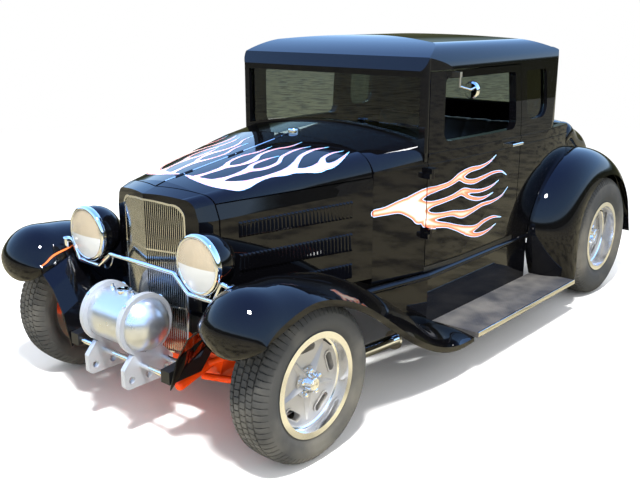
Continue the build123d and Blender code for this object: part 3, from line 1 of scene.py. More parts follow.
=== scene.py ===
"""Looks of a black street coupe of the early 1930s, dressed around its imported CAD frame.

Metres and degrees. The nose points along -Y, the car's left side is +X and z = 0 is the ground.
"""

import json
import logging
from dataclasses import dataclass, field
from enum import Enum
from math import atan2, cos, hypot, pi, radians, sin
from typing import Any, Callable, Iterable, Sequence

import bmesh
import bpy
import numpy as np
from mathutils import Matrix, Vector
from mathutils.bvhtree import BVHTree

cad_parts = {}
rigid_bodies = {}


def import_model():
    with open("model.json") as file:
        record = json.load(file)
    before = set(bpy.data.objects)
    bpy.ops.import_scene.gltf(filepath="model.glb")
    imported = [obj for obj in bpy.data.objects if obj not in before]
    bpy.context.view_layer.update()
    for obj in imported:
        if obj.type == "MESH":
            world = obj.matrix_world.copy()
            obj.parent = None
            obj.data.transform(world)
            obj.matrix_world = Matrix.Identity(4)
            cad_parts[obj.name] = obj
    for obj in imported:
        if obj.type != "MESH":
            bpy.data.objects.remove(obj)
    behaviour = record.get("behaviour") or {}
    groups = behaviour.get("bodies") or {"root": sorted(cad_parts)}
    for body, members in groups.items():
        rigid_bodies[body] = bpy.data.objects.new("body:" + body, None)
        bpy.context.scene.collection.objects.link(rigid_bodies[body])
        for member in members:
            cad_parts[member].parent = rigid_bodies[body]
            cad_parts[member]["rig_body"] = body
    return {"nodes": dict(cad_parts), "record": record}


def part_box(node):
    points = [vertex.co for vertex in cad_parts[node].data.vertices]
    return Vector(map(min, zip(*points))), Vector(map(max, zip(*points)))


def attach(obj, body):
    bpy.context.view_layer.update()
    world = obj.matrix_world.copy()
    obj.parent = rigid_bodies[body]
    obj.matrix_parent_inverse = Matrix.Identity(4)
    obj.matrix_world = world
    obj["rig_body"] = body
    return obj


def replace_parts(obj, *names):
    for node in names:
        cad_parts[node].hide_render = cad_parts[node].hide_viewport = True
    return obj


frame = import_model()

log = logging.getLogger("coupe")
logging.basicConfig(level=logging.INFO, format="%(name)s: %(message)s")

Point = tuple[float, float, float]
Colour = tuple[float, float, float, float]
Tree = bpy.types.NodeTree
Node = bpy.types.Node
Socket = bpy.types.NodeSocket
MM = 0.001
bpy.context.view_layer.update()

# A wave texture's own scale times its wavelength in metres
WAVE_SCALE = 0.314


class Side(Enum):
    """The two sides of the car, as the sign of X."""

    LEFT = 1
    RIGHT = -1

    @property
    def word(self) -> str:
        """The side's name as the frame's nodes spell it."""
        return self.name.lower()


def linear(hex_colour: str, alpha: float = 1.0) -> Colour:
    """Turns an sRGB hex colour into Blender's linear colour.

    Args:
        hex_colour: Six hex digits after a hash sign.
        alpha: The fourth value.

    Returns:
        Linear red, green, blue and alpha.
    """
    channels = [int(hex_colour[i:i + 2], 16) / 255 for i in (1, 3, 5)]
    r, g, b = (c / 12.92 if c <= 0.04045 else ((c + 0.055) / 1.055) ** 2.4 for c in channels)
    return r, g, b, alpha


def add_node(
    tree: Tree, kind: str, settings: dict[Any, Any] | None = None, links: dict[Any, Any] | None = None
) -> Node:
    """Adds one node with its settings and links.

    Args:
        tree: The tree that the node goes into.
        kind: The node's Blender type.
        settings: Properties by name, or values of inputs by input name or number.
        links: Output sockets by the name or number of the input that they feed.

    Returns:
        The new node.
    """
    node = tree.nodes.new(kind)
    for name, value in (settings or {}).items():
        if isinstance(name, str) and hasattr(node, name):
            setattr(node, name, value)
        else:
            node.inputs[name].default_value = value
    for name, socket in (links or {}).items():
        tree.links.new(socket, node.inputs[name])
    return node


def object_place(tree: Tree) -> Socket:
    """The place of each point in its object, in metres."""
    return add_node(tree, "ShaderNodeTexCoord").outputs["Object"]


def add_noise(tree: Tree, size_mm: float, detail: float, roughness: float = 0.5) -> Socket:
    """Adds a cloudy pattern.

    Args:
        tree: The tree that it goes into.
        size_mm: How large its patches are.
        detail: How many finer layers lie over them.
        roughness: How strong the finer layers are.

    Returns:
        The pattern's value.
    """
    settings = {"Scale": 1 / (size_mm * MM), "Detail": detail, "Roughness": roughness}
    return add_node(tree, "ShaderNodeTexNoise", settings, {"Vector": object_place(tree)}).outputs["Fac"]


def add_ribs(tree: Tree, pitch_mm: float) -> Socket:
    """Adds ribs that follow each other across the car, pitch_mm apart."""
    settings = {
        "wave_type": "BANDS", "bands_direction": "X", "Distortion": 0.0,
        "Scale": WAVE_SCALE / (pitch_mm * MM),
    }
    return add_node(tree, "ShaderNodeTexWave", settings, {"Vector": object_place(tree)}).outputs["Fac"]


def add_range(
    tree: Tree, value: Socket, source: tuple[float, float], target: tuple[float, float] = (0.0, 1.0)
) -> Socket:
    """Maps a value from one range onto another and holds it there.

    Args:
        tree: The tree that the node goes into.
        value: The value.
        source: Its own low and high end.
        target: What they become.

    Returns:
        The mapped value.
    """
    settings = {1: source[0], 2: source[1], 3: target[0], 4: target[1]}
    return add_node(tree, "ShaderNodeMapRange", settings, {0: value}).outputs["Result"]


def add_math(tree: Tree, operation: str, first: Socket, second: Socket | float = 0.0) -> Socket:
    """Adds one sum.

    Args:
        tree: The tree that the node goes into.
        operation: Blender's word for it.
        first: Its first value.
        second: Its second value, or the socket that gives it.

    Returns:
        The result.
    """
    settings: dict[Any, Any] = {"operation": operation}
    links: dict[Any, Any] = {0: first}
    (settings if isinstance(second, float) else links)[1] = second
    return add_node(tree, "ShaderNodeMath", settings, links).outputs[0]


def add_mix(tree: Tree, share: Socket, below: Socket | str, above: Socket | str) -> Socket:
    """Mixes two colours.

    Args:
        tree: The tree that the node goes into.
        share: How much of the second colour shows.
        below: The first colour, as a socket or in hex.
        above: The second colour, as a socket or in hex.

    Returns:
        The mixed colour.
    """
    settings: dict[Any, Any] = {"data_type": "RGBA"}
    links: dict[Any, Any] = {0: share}
    for number, colour in ((6, below), (7, above)):
        if isinstance(colour, str):
            settings[number] = linear(colour)
        else:
            links[number] = colour
    return add_node(tree, "ShaderNodeMix", settings, links).outputs[2]


def add_ramp(tree: Tree, share: Socket, stops: Sequence[tuple[float, str]]) -> Socket:
    """Fades from colour to colour.

    Args:
        tree: The tree that the node goes into.
        share: How far along the stops each point lies, from 0 to 1.
        stops: Place and hex colour of each stop, in order.

    Returns:
        The colour.
    """
    ramp = add_node(tree, "ShaderNodeValToRGB", links={"Fac": share})
    elements = ramp.color_ramp.elements
    while len(elements) < len(stops):
        elements.new(0.5)
    for element, (place, colour) in zip(elements, stops):
        element.position = place
        element.color = linear(colour)
    return ramp.outputs["Color"]


def add_bump(tree: Tree, shader: Node, height: Socket, strength: float, depth_mm: float = 1.0) -> None:
    """Raises a finish, and its clear coat if it has one, by a pattern.

    Args:
        tree: The finish's tree.
        shader: Its shader.
        height: The pattern.
        strength: How strongly it shows, from 0 to 1.
        depth_mm: How high its full value stands.
    """
    settings = {"Strength": strength, "Distance": depth_mm * MM}
    bump = add_node(tree, "ShaderNodeBump", settings, {"Height": height})
    for name in ("Normal", "Coat Normal"):
        tree.links.new(bump.outputs["Normal"], shader.inputs[name])


# Finishes


@dataclass(frozen=True)
class Finish:
    """What every finish has: a name for the real material and how its surface was made."""

    name: str
    colour: str = "#808080"
    roughness: float = 0.5
    metallic: float = 0.0

    def dress(self, tree: Tree, shader: Node) -> None:
        """Adds what this kind of finish has beyond its plain values, which here is nothing."""

    def build(self) -> bpy.types.Material:
        """The finished material."""
        material = bpy.data.materials.new(self.name)
        material.use_nodes = True
        tree = material.node_tree
        shader = tree.nodes["Principled BSDF"]
        shader.inputs["Base Color"].default_value = linear(self.colour)
        shader.inputs["Roughness"].default_value = self.roughness
        shader.inputs["Metallic"].default_value = self.metallic
        self.dress(tree, shader)
        return material


@dataclass(frozen=True)
class LacquerFinish(Finish):
    """Sprayed and polished lacquer: a mirror coat over its colour, with a trace of orange peel."""

    peel_mm: float = 7.0
    peel_height: float = 0.012
    coat_roughness: float = 0.02
    coat_ior: float = 1.37

    def dress(self, tree: Tree, shader: Node) -> None:
        """Adds the clear coat and its faint orange peel."""
        shader.inputs["Coat Weight"].default_value = 1.0
        shader.inputs["Coat Roughness"].default_value = self.coat_roughness
        shader.inputs["Coat IOR"].default_value = self.coat_ior
        shader.inputs["Specular IOR Level"].default_value = 0.0
        add_bump(tree, shader, add_noise(tree, self.peel_mm, 2.0), self.peel_height)


@dataclass(frozen=True)
class FlameFinish(LacquerFinish):
    """Hand-sprayed flames under clear coat: white hearts that fade through orange, with a blue pinstripe.

    The surface carries how far each point lies inside the flames, in metres, in the attribute flame_depth.
    """

    heart: str = "#ffead8"
    glow: str = "#ec8e68"
    edge: str = "#d8583a"
    stripe: str = "#a5cdf3"
    stripe_mm: float = 3.0
    fade_mm: float = 27.0

    def dress(self, tree: Tree, shader: Node) -> None:
        """Adds the coat, the fade from edge to heart and the stripe round the flames."""
        LacquerFinish.dress(self, tree, shader)
        depth = add_node(tree, "ShaderNodeAttribute", {"attribute_name": "flame_depth"}).outputs["Fac"]
        share = add_range(tree, depth, (0.0, self.fade_mm * MM))
        fade = add_ramp(tree, share, ((0.0, self.edge), (0.35, self.glow), (0.8, self.heart)))
        flame = add_mix(tree, add_math(tree, "GREATER_THAN", depth), self.colour, fade)
        near = add_math(tree, "LESS_THAN", add_math(tree, "ABSOLUTE", depth), self.stripe_mm * MM / 2)
        tree.links.new(add_mix(tree, near, flame, self.stripe), shader.inputs["Base Color"])


@dataclass(frozen=True)
class MetalFinish(Finish):
    """Plated or polished metal: its roughness wanders a little, as hands and dust leave it."""

    metallic: float = 1.0
    wander: float = 0.06
    cloud_mm: float = 60.0
    grain_mm: float = 0.0
    grain_height: float = 0.0

    def dress(self, tree: Tree, shader: Node) -> None:
        """Adds the wandering roughness and the grain of a casting."""
        span = (max(0.0, self.roughness - self.wander), self.roughness + self.wander)
        rough = add_range(tree, add_noise(tree, self.cloud_mm, 4.0), (0.3, 0.7), span)
        tree.links.new(rough, shader.inputs["Roughness"])
        if self.grain_mm:
            add_bump(tree, shader, add_noise(tree, self.grain_mm, 3.0), self.grain_height, depth_mm=0.5)


@dataclass(frozen=True)
class WheelFinish(MetalFinish):
    """A cast wheel: grey blasted alloy within the rim, which is polished bright."""

    axle_y: float = 0.0
    axle_z: float = 0.0
    rim_radius: float = 0.176
    rim_colour: str = "#f6f6f7"
    rim_roughness: float = 0.17
    disc_metallic: float = 0.35
    edge_width: float = 0.002

    def dress(self, tree: Tree, shader: Node) -> None:
        """Adds the casting's grain, and the polish from the rim outwards.

        Args:
            tree: The material's tree.
            shader: Its Principled node.
        """
        MetalFinish.dress(self, tree, shader)
        split = add_node(tree, "ShaderNodeSeparateXYZ", links={0: object_place(tree)})
        flat = add_node(tree, "ShaderNodeCombineXYZ", links={1: split.outputs["Y"], 2: split.outputs["Z"]})
        away = add_node(
            tree, "ShaderNodeVectorMath", {"operation": "DISTANCE", 1: (0.0, self.axle_y, self.axle_z)},
            {0: flat.outputs[0]},
        ).outputs["Value"]
        half = self.edge_width / 2
        rim = add_range(tree, away, (self.rim_radius - half, self.rim_radius + half))
        cast_rough = shader.inputs["Roughness"].links[0].from_socket
        rough = add_node(tree, "ShaderNodeMix", {3: self.rim_roughness}, {0: rim, 2: cast_rough})
        tree.links.new(rough.outputs[0], shader.inputs["Roughness"])
        tree.links.new(add_mix(tree, rim, self.colour, self.rim_colour), shader.inputs["Base Color"])
        metal = add_range(tree, rim, (0.0, 1.0), (self.disc_metallic, 1.0))
        tree.links.new(metal, shader.inputs["Metallic"])


@dataclass(frozen=True)
class FlutedGlassFinish(Finish):
    """Pressed lamp glass: fine upright flutes in the warmer upper half, plain below."""

    middle_z: float = 0.735
    flute_mm: float = 7.0
    clear_share: float = 0.6
    upper_colour: str = "#e6d6ba"

    def dress(self, tree: Tree, shader: Node) -> None:
        """Adds the glass, its flutes and the warm tone above them."""
        shader.inputs["Transmission Weight"].default_value = self.clear_share
        shader.inputs["IOR"].default_value = 1.5
        split = add_node(tree, "ShaderNodeSeparateXYZ", links={0: object_place(tree)})
        upper = add_math(tree, "GREATER_THAN", split.outputs["Z"], self.middle_z)
        height = add_math(tree, "MULTIPLY", add_ribs(tree, self.flute_mm), upper)
        add_bump(tree, shader, height, 0.5, depth_mm=1.5)
        tree.links.new(add_mix(tree, upper, self.colour, self.upper_colour), shader.inputs["Base Color"])


@dataclass(frozen=True)
class DustyFinish(Finish):
    """A surface greyed by dust in patches, between clean_share and dust_share of it."""

    dust: str = "#4b4843"
    dust_share: float = 0.35
    clean_share: float = 0.0
    patch: tuple[float, float] = (0.45, 0.75)
    patch_mm: float = 1000 / 3.0
    patch_detail: float = 8.0

    def dress(self, tree: Tree, shader: Node) -> None:
        """Adds the dust."""
        cloud = add_noise(tree, self.patch_mm, self.patch_detail)
        share = add_range(tree, cloud, self.patch, (self.clean_share, self.dust_share))
        tree.links.new(add_mix(tree, share, self.colour, self.dust), shader.inputs["Base Color"])


@dataclass(frozen=True)
class RubberFinish(DustyFinish):
    """Moulded rubber: nearly black and matt, with a fine grain."""

    grain_mm: float = 3.0

    def dress(self, tree: Tree, shader: Node) -> None:
        """Adds the dust and the grain."""
        DustyFinish.dress(self, tree, shader)
        add_bump(tree, shader, add_noise(tree, self.grain_mm, 3.0), 0.12, depth_mm=0.8)


@dataclass(frozen=True)
class RibbedRubberFinish(DustyFinish):
    """Ribbed step matting: fine ribs run along the car, grey with road dust."""

    rib_mm: float = 9.0

    def dress(self, tree: Tree, shader: Node) -> None:
        """Adds the dust and the ribs."""
        DustyFinish.dress(self, tree, shader)
        add_bump(tree, shader, add_ribs(tree, self.rib_mm), 0.6, depth_mm=2.0)


@dataclass(frozen=True)
class GlassFinish(Finish):
    """Float glass, tinted against the sun."""

    ior: float = 1.45

    def dress(self, tree: Tree, shader: Node) -> None:
        """Makes the finish clear."""
        shader.inputs["Transmission Weight"].default_value = 1.0
        shader.inputs["IOR"].default_value = self.ior


@dataclass(frozen=True)
class LeatherFinish(Finish):
    """Pigmented leather: satin black with a pebbled grain."""

    pebble_mm: float = 4.0

    def dress(self, tree: Tree, shader: Node) -> None:
        """Adds the pebbles."""
        settings = {"Scale": 1 / (self.pebble_mm * MM), "feature": "DISTANCE_TO_EDGE"}
        pebble = add_node(tree, "ShaderNodeTexVoronoi", settings, {"Vector": object_place(tree)})
        add_bump(tree, shader, pebble.outputs["Distance"], 0.35)


@dataclass(frozen=True)
class FieldFloorFinish(Finish):
    """The plain pale floor, which polished paint mirrors as the dry straw of a field."""

    straw: str = "#b5aa88"
    shade: str = "#6b634c"
    tuft_mm: float = 1000 / 3.5
    near: float = 3.5
    far: float = 9.0

    def dress(self, tree: Tree, shader: Node) -> None:
        """Adds the straw that mirrors show, and the white that the camera sees far off.

        Args:
            tree: The material's tree.
            shader: Its Principled node.
        """
        path = add_node(tree, "ShaderNodeLightPath")
        tuft = add_noise(tree, self.tuft_mm, 6.0, 0.6)
        straw = add_ramp(tree, tuft, ((0.38, self.shade), (0.54, self.straw)))
        tone = add_mix(tree, path.outputs["Is Glossy Ray"], self.colour, straw)
        tree.links.new(tone, shader.inputs["Base Color"])
        place = add_node(tree, "ShaderNodeNewGeometry").outputs["Position"]
        away = add_node(tree, "ShaderNodeVectorMath", {"operation": "LENGTH"}, {0: place}).outputs["Value"]
        away = add_range(tree, away, (self.near, self.far))
        seen = add_math(tree, "MULTIPLY", away, path.outputs["Is Camera Ray"])
        white = add_node(tree, "ShaderNodeEmission", {"Color": linear("#ffffff"), "Strength": 1.0})
        links = {0: seen, 1: shader.outputs[0], 2: white.outputs[0]}
        mixed = add_node(tree, "ShaderNodeMixShader", links=links)
        tree.links.new(mixed.outputs[0], tree.nodes["Material Output"].inputs["Surface"])


@dataclass(frozen=True)
class PaletteOfFinishes:
    """Every finish on the car, each built once."""

    # Deep black that mirrors the sky above and the straw below
    lacquer: Finish = LacquerFinish("sprayed black lacquer", "#060608", 0.25)
    # The same black with warm flames on the cowl and the doors
    flames: Finish = FlameFinish("flame-painted black lacquer", "#060608", 0.25)
    # Whiter flames with rosy edges on the hood
    pale_flames: Finish = FlameFinish(
        "pale flame-painted lacquer", "#060608", 0.25, heart="#ffeee6", glow="#ee9a90", edge="#d04250",
        stripe="#6fb4e6", stripe_mm=2.2, fade_mm=14.0,
    )
    # Duller black with brown dust underneath
    chassis: Finish = RubberFinish("brushed chassis paint", "#0c0c0d", 0.45, dust="#2c2a26", dust_share=0.2)
    # Signal orange arms that glow in the fender's shade
    orange: Finish = LacquerFinish("sprayed orange enamel", "#e2450f", 0.3)
    # Cold mirror on lamp rims, bar and handles
    chrome: Finish = MetalFinish("plated chrome", "#f1f2f3", 0.05, wander=0.03)
    # Softer mirror with a warm cast on the grille's bars
    stainless: Finish = MetalFinish("polished stainless bar", "#d9d8d3", 0.14, wander=0.05)
    # Silky bright sheet with broad, soft highlights
    tank: Finish = MetalFinish(
        "buffed aluminium sheet", "#d3d6da", 0.3, metallic=0.92, wander=0.04, cloud_mm=90.0
    )
    # Flat light grey round the tank
    bracket: Finish = MetalFinish(
        "satin cast aluminium", "#b4b7bb", 0.5, metallic=0.5, wander=0.06, grain_mm=2.5, grain_height=0.15
    )
    # Grey discs inside bright rims, front and rear
    wheel_front: Finish = WheelFinish(
        "blasted front wheel alloy", "#a09c94", 0.5, grain_mm=3.0, grain_height=0.12,
        axle_y=-1.3145, axle_z=0.314,
    )
    wheel_rear: Finish = WheelFinish(
        "blasted rear wheel alloy", "#a09c94", 0.5, grain_mm=3.0, grain_height=0.12,
        axle_y=1.3145, axle_z=0.3555,
    )
    # Dark grey metal on the engine and the knuckles
    iron: Finish = MetalFinish(
        "machined cast steel", "#6e6c69", 0.45, wander=0.1, grain_mm=2.5, grain_height=0.3
    )
    # Faded black, dusty as after a drive over a field
    tyre: Finish = RubberFinish("moulded tyre rubber", "#34332f", 0.85, dust="#7d7768", dust_share=0.62)
    # Grey ribbed tread for the feet
    mat: Finish = RibbedRubberFinish(
        "ribbed step matting", "#26262a", 0.6, dust="#77736c", clean_share=0.15, dust_share=0.75,
        patch=(0.35, 0.7), patch_mm=1000 / 7.0, patch_detail=6.0,
    )
    # Panes that darken the cabin behind them
    glass: Finish = GlassFinish("tinted float glass", "#87938b", 0.0)
    # Lamp glass that is warm above and white below
    lens: Finish = FlutedGlassFinish("pressed lamp glass", "#fbfbf6", 0.02)
    # Soft bright bowl behind the lamp glass
    silver: Finish = MetalFinish("silvered reflector", "#fbfaf6", 0.45, wander=0.03)
    # Thin orange line along the fenders' crowns
    stripe: Finish = LacquerFinish("brushed orange enamel", "#e8743a", 0.25)
    # Cream faces in the dash
    dial: Finish = LacquerFinish("screened dial face", "#d8d6cc", 0.4)
    # Deep red points at the tail
    red_lens: Finish = LacquerFinish("moulded red acrylic", "#8a0606", 0.1)
    # Dark seat with a soft shine
    leather: Finish = LeatherFinish("pigmented black leather", "#15130f", 0.5)
    # Dull black dash and column
    trim: Finish = RubberFinish("grained black vinyl", "#0e0e0f", 0.55, dust_share=0.0)
    # Black depth behind the grille
    core: Finish = RubberFinish("painted radiator core", "#0a0a0a", 0.7, dust_share=0.1)
    # Shiny dark steering wheel
    rim_wood: Finish = LacquerFinish("varnished black rim", "#0b0a09", 0.3)
    _cache: dict[str, bpy.types.Material] = field(default_factory=dict)

    def get(self, name: str) -> bpy.types.Material:
        """The material of the finish in the field of that name, built when first asked for."""
        if name not in self._cache:
            self._cache[name] = getattr(self, name).build()
        return self._cache[name]


FINISHES = PaletteOfFinishes()

# The record's slots and the finish that each takes
SLOT_FINISHES = {
    "body_paint": "lacquer", "chassis_paint": "chassis", "arm_paint": "orange", "cast_steel": "iron",
    "chrome_plate": "chrome", "polished_steel": "stainless", "polished_aluminium": "tank",
    "cast_aluminium": "bracket", "cast_wheel": "wheel_front", "tyre_rubber": "tyre", "step_rubber": "mat",
    "clear_glass": "glass", "lamp_red": "red_lens", "seat_leather": "leather", "cabin_black": "trim",
    "rim_wood": "rim_wood", "core_black": "core",
}


def dress_nodes() -> None:
    """Gives every CAD node the finish of its slot in the record."""
    slots = {s["node"]: s["material_slot"] for s in frame["record"]["subparts"]}
    for name, node in frame["nodes"].items():
        word = "wheel_rear" if name.startswith("wheel_rear") else SLOT_FINISHES[slots[name]]
        node.data.materials.clear()
        node.data.materials.append(FINISHES.get(word))


# Shapes


def arc(a: Sequence[float], b: Sequence[float], c: Sequence[float], count: int) -> list[tuple[float, float]]:
    """Points on the circular arc from a through b to c.

    Args:
        a: The arc's first point.
        b: A point that it passes.
        c: Its last point.
        count: How many points to give, both ends included.

    Returns:
        The points, in order.
    """
    (ax, ay), (bx, by), (cx, cy) = a, b, c
    d = 2 * (ax * (by - cy) + bx * (cy - ay) + cx * (ay - by))
    sa, sb, sc = ax * ax + ay * ay, bx * bx + by * by, cx * cx + cy * cy
    ux = (sa * (by - cy) + sb * (cy - ay) + sc * (ay - by)) / d
    uy = (sa * (cx - bx) + sb * (ax - cx) + sc * (bx - ax)) / d
    radius = hypot(ax - ux, ay - uy)
    start, middle, end = (atan2(y - uy, x - ux) for x, y in (a, b, c))
    sweep = (end - start) % (2 * pi)
    if (middle - start) % (2 * pi) > sweep:
        sweep -= 2 * pi
    angles = (start + sweep * i / (count - 1) for i in range(count))
    return [(ux + radius * cos(t), uy + radius * sin(t)) for t in angles]


def facing(origin: Sequence[float], axis: Sequence[float]) -> Matrix:
    """The frame at origin whose Z looks along axis."""
    return Matrix.Translation(origin) @ Vector(axis).to_track_quat("Z", "Y").to_matrix().to_4x4()


@dataclass
class Shape:
    """Points and faces that grow into one mesh piece."""

    points: list[Vector] = field(default_factory=list)
    faces: list[tuple[int, ...]] = field(default_factory=list)

    def add(
        self, points: Iterable[Sequence[float]], faces: Iterable[Sequence[int]], place: Matrix | None = None
    ) -> None:
        """Adds points and the faces between them.

        Args:
            points: The points.
            faces: Point numbers of each face, counted from the first of these points.
            place: A frame that the points are given in.
        """
        start = len(self.points)
        place = place or Matrix()
        self.points += [place @ Vector(p) for p in points]
        self.faces += [tuple(start + i for i in face) for face in faces]

    def skin(
        self, rows: Sequence[Sequence[Sequence[float]]], ring: bool, loop: bool, place: Matrix | None = None
    ) -> None:
        """Adds a skin over rows of points.

        Args:
            rows: Rows of equal length.
            ring: Whether the last row joins the first.
            loop: Whether each row joins its own start.
            place: A frame that the points are given in.
        """
        n, m = len(rows), len(rows[0])
        faces = [
            (i * m + j, i * m + (j + 1) % m, (i + 1) % n * m + (j + 1) % m, (i + 1) % n * m + j)
            for i in range(n if ring else n - 1) for j in range(m if loop else m - 1)
        ]
        self.add([p for row in rows for p in row], faces, place)

    def turned(
        self, profile: Sequence[tuple[float, float]], place: Matrix, count: int = 48, twist: float = 0.0
    ) -> None:
        """Adds a profile turned round a frame's Z.

        Args:
            profile: Radius and height of each point.
            place: The frame.
            count: How many steps go round, 6 for a hexagon.
            twist: Where the first step lies, in radians.
        """
        rows = []
        for i in range(count):
            t = twist + 2 * pi * i / count
            rows.append([(r * cos(t), r * sin(t), h) for r, h in profile])
        self.skin(rows, ring=True, loop=False, place=place)

    def rod(self, path: Sequence[Sequence[float]], radius: float | Sequence[float], count: int = 12) -> None:
        """Adds a round bar along a path, closed at both ends.

        Args:
            path: Points along its middle.
            radius: Its radius, or one for each point.
            count: How many steps go round.
        """
        spots = [Vector(p) for p in path]
        radii = [radius] * len(spots) if isinstance(radius, float) else list(radius)
        rows = []
        normal = None
        for i, spot in enumerate(spots):
            along = (spots[min(i + 1, len(spots) - 1)] - spots[max(i - 1, 0)]).normalized()
            side = normal or along.orthogonal()
            normal = (side - along * side.dot(along)).normalized()
            other = along.cross(normal)
            turns = [2 * pi * k / count for k in range(count)]
            rows.append([spot + radii[i] * (cos(t) * normal + sin(t) * other) for t in turns])
        start = len(self.points)
        self.skin(rows, ring=False, loop=True)
        last = start + (len(rows) - 1) * count
        self.faces += [tuple(range(start + count - 1, start - 1, -1)), tuple(range(last, last + count))]

    def piece(
        self, name: str, finish: str, body: str, slot: str, sharp: float = 35.0,
        layer: Sequence[float] | None = None,
    ) -> bpy.types.Object:
        """Makes the mesh piece that rides on a CAD body.

        Args:
            name: The piece's name.
            finish: A field of PaletteOfFinishes.
            body: The CAD body that carries it.
            slot: The record's slot; not used.
            sharp: Edges that bend by more than these degrees stay sharp.
            layer: Values for the attribute flame_depth, one for each point.

        Returns:
            The new object.
        """
        mesh = bpy.data.meshes.new(name)
        mesh.from_pydata([tuple(p) for p in self.points], [], self.faces)
        if layer is not None:
            mesh.attributes.new("flame_depth", "FLOAT", "POINT").data.foreach_set("value", list(layer))
        work = bmesh.new()
        work.from_mesh(mesh)
        if layer is None:
            bmesh.ops.remove_doubles(work, verts=work.verts, dist=1e-6)
            bmesh.ops.recalc_face_normals(work, faces=work.faces)
        work.to_mesh(mesh)
        work.free()
        mesh.polygons.foreach_set("use_smooth", [True] * len(mesh.polygons))
        mesh.set_sharp_from_angle(angle=radians(sharp))
        mesh.materials.append(FINISHES.get(finish))
        piece = bpy.data.objects.new(name, mesh)
        bpy.context.scene.collection.objects.link(piece)
        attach(piece, body)
        log.info("%s: %d faces on %s", name, len(mesh.polygons), body)
        return piece


# Wheels and tyres


